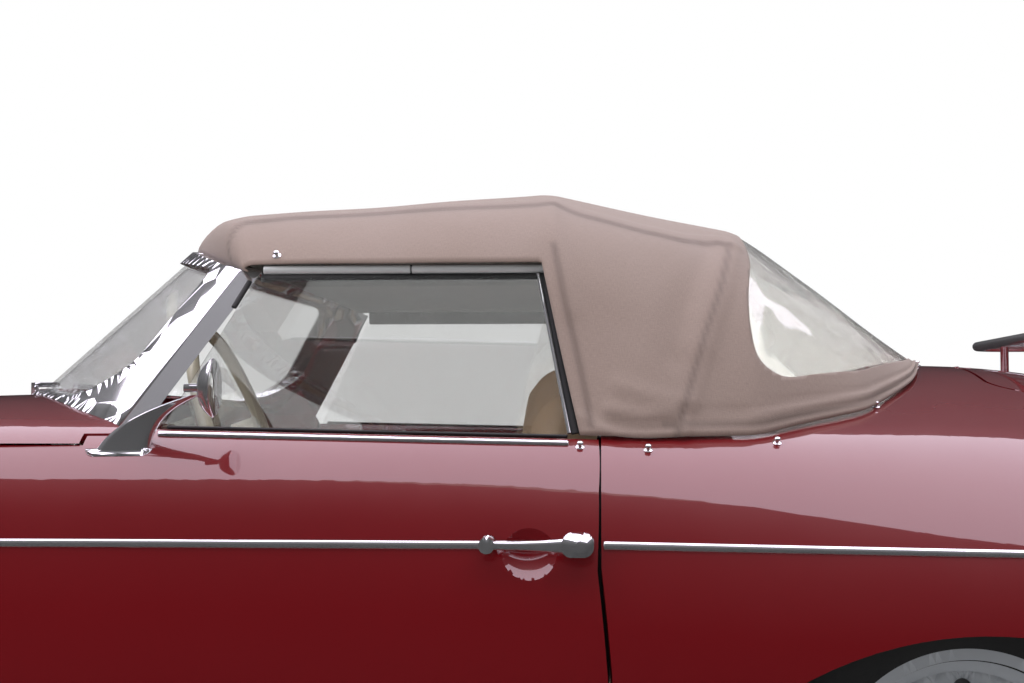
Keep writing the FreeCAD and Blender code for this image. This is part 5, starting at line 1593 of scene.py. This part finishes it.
@dataclass
class Seat:
    """One bucket seat as two crowned leather pads with sewn channels, filled by a short cloth simulation."""

    side: float
    node: str
    middle_y: float = 0.328
    width: float = 0.432
    frames: int = 14
    pressure: float = 3.0
    cap: float = 0.012
    edge_share: float = 0.42
    voxel: float = 0.009
    channel_pitch: float = 0.062
    channel_half: float = 0.0055
    channel_depth: float = 0.007
    piping_place: float = 0.345
    piping_half: float = 0.005
    piping_height: float = 0.006
    dish_depth: float = 0.016

    def pad(self, name: str, size: Point, place: Point, lean_degrees: float, narrow: float) -> bpy.types.Object:
        """Makes one pad from a bevelled block.

        Args:
            name: The pad's name.
            size: Length, width and thickness.
            place: Its middle.
            lean_degrees: Its turn about the cross axis.
            narrow: The share by which its far end is narrower.

        Returns:
            The filled pad.
        """
        deselect()
        bpy.ops.mesh.primitive_cube_add(size=1, location=(0, 0, 0))
        pad = bpy.context.active_object
        pad.name = name
        pad.data.transform(Matrix.Diagonal((*size, 1)))
        with_modifier(pad, "soft_edges", "BEVEL", width=min(size) * self.edge_share, segments=6)
        with_modifier(pad, "even_mesh", "REMESH", mode="VOXEL", voxel_size=self.voxel)
        self.fill_out(pad)
        self.sew(pad, size, narrow)
        pad.data.transform(Matrix.Translation(place) @ Matrix.Rotation(math.radians(lean_degrees), 4, "Y"))
        activate(pad)
        for face in pad.data.polygons:
            face.use_smooth = True
        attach(pad, "body")
        return give(pad, TAN_LEATHER)

    def sew(self, pad: bpy.types.Object, size: Point, narrow: float) -> None:
        """Presses the channels, the piping and the dish into a pad's upper side, and narrows its far end."""
        length, width, thickness = size
        pitch = self.channel_pitch
        for vertex in pad.data.vertices:
            spot = vertex.co
            spot.y *= 1 - narrow * smooth_step(-spot.x, length * 0.05, length * 0.5)
            across, along = abs(spot.y), abs(spot.x)
            top = smooth_step(spot.z, -thickness * 0.1, thickness * 0.35)
            inner = 1 - smooth_step(across, width * 0.30, width * 0.36)
            inner *= 1 - smooth_step(along, length * 0.36, length * 0.44)
            channel = bell(spot.y - round(spot.y / pitch) * pitch, self.channel_half)
            piping = bell(across - width * self.piping_place, self.piping_half)
            piping *= 1 - smooth_step(along, length * 0.40, length * 0.44)
            dish = bell(spot.x, length * 0.33) * bell(spot.y, width * 0.3)
            sunk = inner * self.channel_depth * channel + piping * self.piping_height + self.dish_depth * dish
            spot.z -= top * sunk

    def fill_out(self, pad: bpy.types.Object) -> None:
        """Swells a pad with pressure and keeps each point within the cap of its start."""
        start = [vertex.co.copy() for vertex in pad.data.vertices]
        cloth = pad.modifiers.new("filling", "CLOTH")
        cloth.settings.use_pressure = True
        cloth.settings.uniform_pressure_force = self.pressure
        cloth.settings.effector_weights.gravity = 0.0
        cloth.settings.quality = 4
        scene = bpy.context.scene
        for number in range(1, self.frames + 1):
            scene.frame_set(number)
        activate(pad)
        bpy.ops.object.modifier_apply(modifier=cloth.name)
        scene.frame_set(1)
        for vertex, before in zip(pad.data.vertices, start):
            move = vertex.co - before
            if move.length > self.cap:
                vertex.co = before + move.normalized() * self.cap

    def build(self) -> list[bpy.types.Object]:
        """Makes the cushion, the back and the steel base below them.

        Returns:
            The seat's pieces.
        """
        y = self.middle_y * self.side
        label = "left" if self.side > 0 else "right"
        cushion = self.pad(f"seat_cushion_{label}", (0.455, self.width, 0.15), (0.010, y, 0.350), -4.0, 0.06)
        back = self.pad(f"seat_back_{label}", (0.60, self.width, 0.098), (-0.268, y, 0.628), 78.5, 0.30)
        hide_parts(self.node)
        return [cushion, back, self.base(label, y)]

    def base(self, label: str, y: float) -> bpy.types.Object:
        """Steel base below the cushion, a bevelled block."""
        deselect()
        bpy.ops.mesh.primitive_cube_add(size=1, location=(0.005, y, 0.262))
        base = bpy.context.active_object
        base.name = f"seat_base_{label}"
        base.data.transform(Matrix.Diagonal((0.36, 0.34, 0.09, 1)))
        activate(base)
        bpy.ops.object.mode_set(mode="EDIT")
        bpy.ops.mesh.select_all(action="SELECT")
        bpy.ops.mesh.bevel(offset=0.012, segments=3, affect="EDGES")
        bpy.ops.object.mode_set(mode="OBJECT")
        bpy.ops.object.transform_apply(location=True, rotation=True, scale=True)
        bpy.ops.object.shade_smooth_by_angle(angle=math.radians(40))
        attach(base, "body")
        return give(base, STEEL)


class Interior:
    """Seats, carpet and instruments."""

    def build(self) -> list[bpy.types.Object]:
        """Makes the pieces that show through the windows."""
        seats = Seat(1.0, "seat_left").build() + Seat(-1.0, "seat_right").build()
        return seats + [self.carpet(), self.dash()]

    @staticmethod
    def carpet() -> bpy.types.Object:
        """Carpet on the floor pan's inner faces, underseal below."""
        piece = give(merged_copy("floor_pan", "floor_with_carpet"), UNDERSEAL, CARPET)
        mark_faces(piece, 1, lambda face: face.normal.z > 0.3 and abs(face.center.y) < 0.66
                   and -0.75 < face.center.x < 0.95)
        return piece

    @staticmethod
    def dash() -> bpy.types.Object:
        """Painted dashboard with bright bezels and dark dials towards the driver."""
        piece = give(merged_copy("dashboard", "dashboard_painted"), PAINT, CHROME, RUBBER)
        front_x = corners("dashboard")[0].x + 0.012
        mark_faces(piece, 1, lambda face: face.center.x < front_x)
        mark_faces(piece, 2, lambda face: face.center.x < front_x and face.normal.x < -0.8)
        return piece


@dataclass
class Wheel:
    """One wheel's rim and hubcap, told apart by their distance from the axle."""

    node: str
    cap_radius: float = 0.118

    def build(self) -> bpy.types.Object:
        """Smooth copy of the rim with a bright hubcap."""
        piece = give(merged_copy(self.node, self.node + "_dressed", 28.0), RIM_SILVER, CHROME)
        low, high = corners(self.node)
        middle = (low + high) / 2
        side = math.copysign(1.0, middle.y)
        mark_faces(piece, 1, lambda face: face.center.y * side > middle.y * side and math.hypot(
            face.center.x - middle.x, face.center.z - middle.z) < self.cap_radius)
        return piece


class Lamps:
    """Headlamps and tail lamps with bright rims and dark or red glass."""

    lens_radius = 0.079
    tail_rim = 0.022

    def build(self) -> list[bpy.types.Object]:
        """Smooth copies with a finish for each part of the lamp."""
        head = give(merged_copy("headlamps", "headlamps_dressed", 28.0), CHROME, LENS)
        low, high = corners("headlamps")
        middle_y, middle_z = self.middle_y("headlamps"), (low.z + high.z) / 2
        mark_faces(head, 1, lambda face: face.normal.x > 0.5 and math.hypot(
            abs(face.center.y) - middle_y, face.center.z - middle_z) < self.lens_radius)
        tail = give(merged_copy("tail_lamps", "tail_lamps_dressed", 28.0), RED_LENS, CHROME)
        rim_x = corners("tail_lamps")[0].x + self.tail_rim
        mark_faces(tail, 1, lambda face: face.center.x > rim_x)
        return [head, tail]

    @staticmethod
    def middle_y(node: str) -> float:
        """Distance of a pair's left piece from the car's middle."""
        left = [vertex.co.y for vertex in frame["nodes"][node].data.vertices if vertex.co.y > 0]
        return (min(left) + max(left)) / 2


class BrightWork:
    """Bumpers, handles, mirror, rack, frame and grille as smooth copies of their nodes."""

    nodes = ("front_bumper", "rear_bumper", "door_handle_left", "door_handle_right", "mirror_left", "luggage_rack",
             "windscreen_frame", "engine_grille", "wipers", "steering_wheel", "exhaust")
    smooth_degrees = {"windscreen_frame": 12.0}

    def build(self) -> list[bpy.types.Object]:
        """Smooth copies in the nodes' own finishes."""
        return [give(merged_copy(node, node + "_smooth", self.smooth_degrees.get(node, 30.0)), NODE_FINISHES[node])
                for node in self.nodes]


def dress_nodes() -> None:
    """Gives every carried-over CAD node its finish."""
    for node, piece in frame["nodes"].items():
        finishes = [finish for prefix, finish in WHEEL_FINISHES.items() if node.startswith(prefix)]
        if node in NODE_FINISHES:
            finishes = [NODE_FINISHES[node]]
        if finishes:
            give(piece, *finishes)


def main() -> None:
    """Builds the stage and every sub-assembly in order."""
    logging.basicConfig(level=logging.INFO, format="%(name)s: %(message)s")
    Stage().build()
    dress_nodes()
    for panel in PaintedBody().build():
        LOG.info("panel %s", panel.name)
    cloth, window = FabricTop().build()
    LOG.info("top %s, %s", cloth.name, window.name)
    trim = Trim()
    for piece in trim.build() + trim.cloth_stud(cloth):
        LOG.info("trim %s", piece.name)
    makers = {"tyre_": Tyre, "rim_": Wheel}
    for node in list(frame["nodes"]):
        for prefix, maker in makers.items():
            if node.startswith(prefix):
                LOG.info("%s", maker(node).build().name)
    for piece in Interior().build() + Lamps().build() + BrightWork().build():
        LOG.info("piece %s", piece.name)


if __name__ == "__main__":
    main()
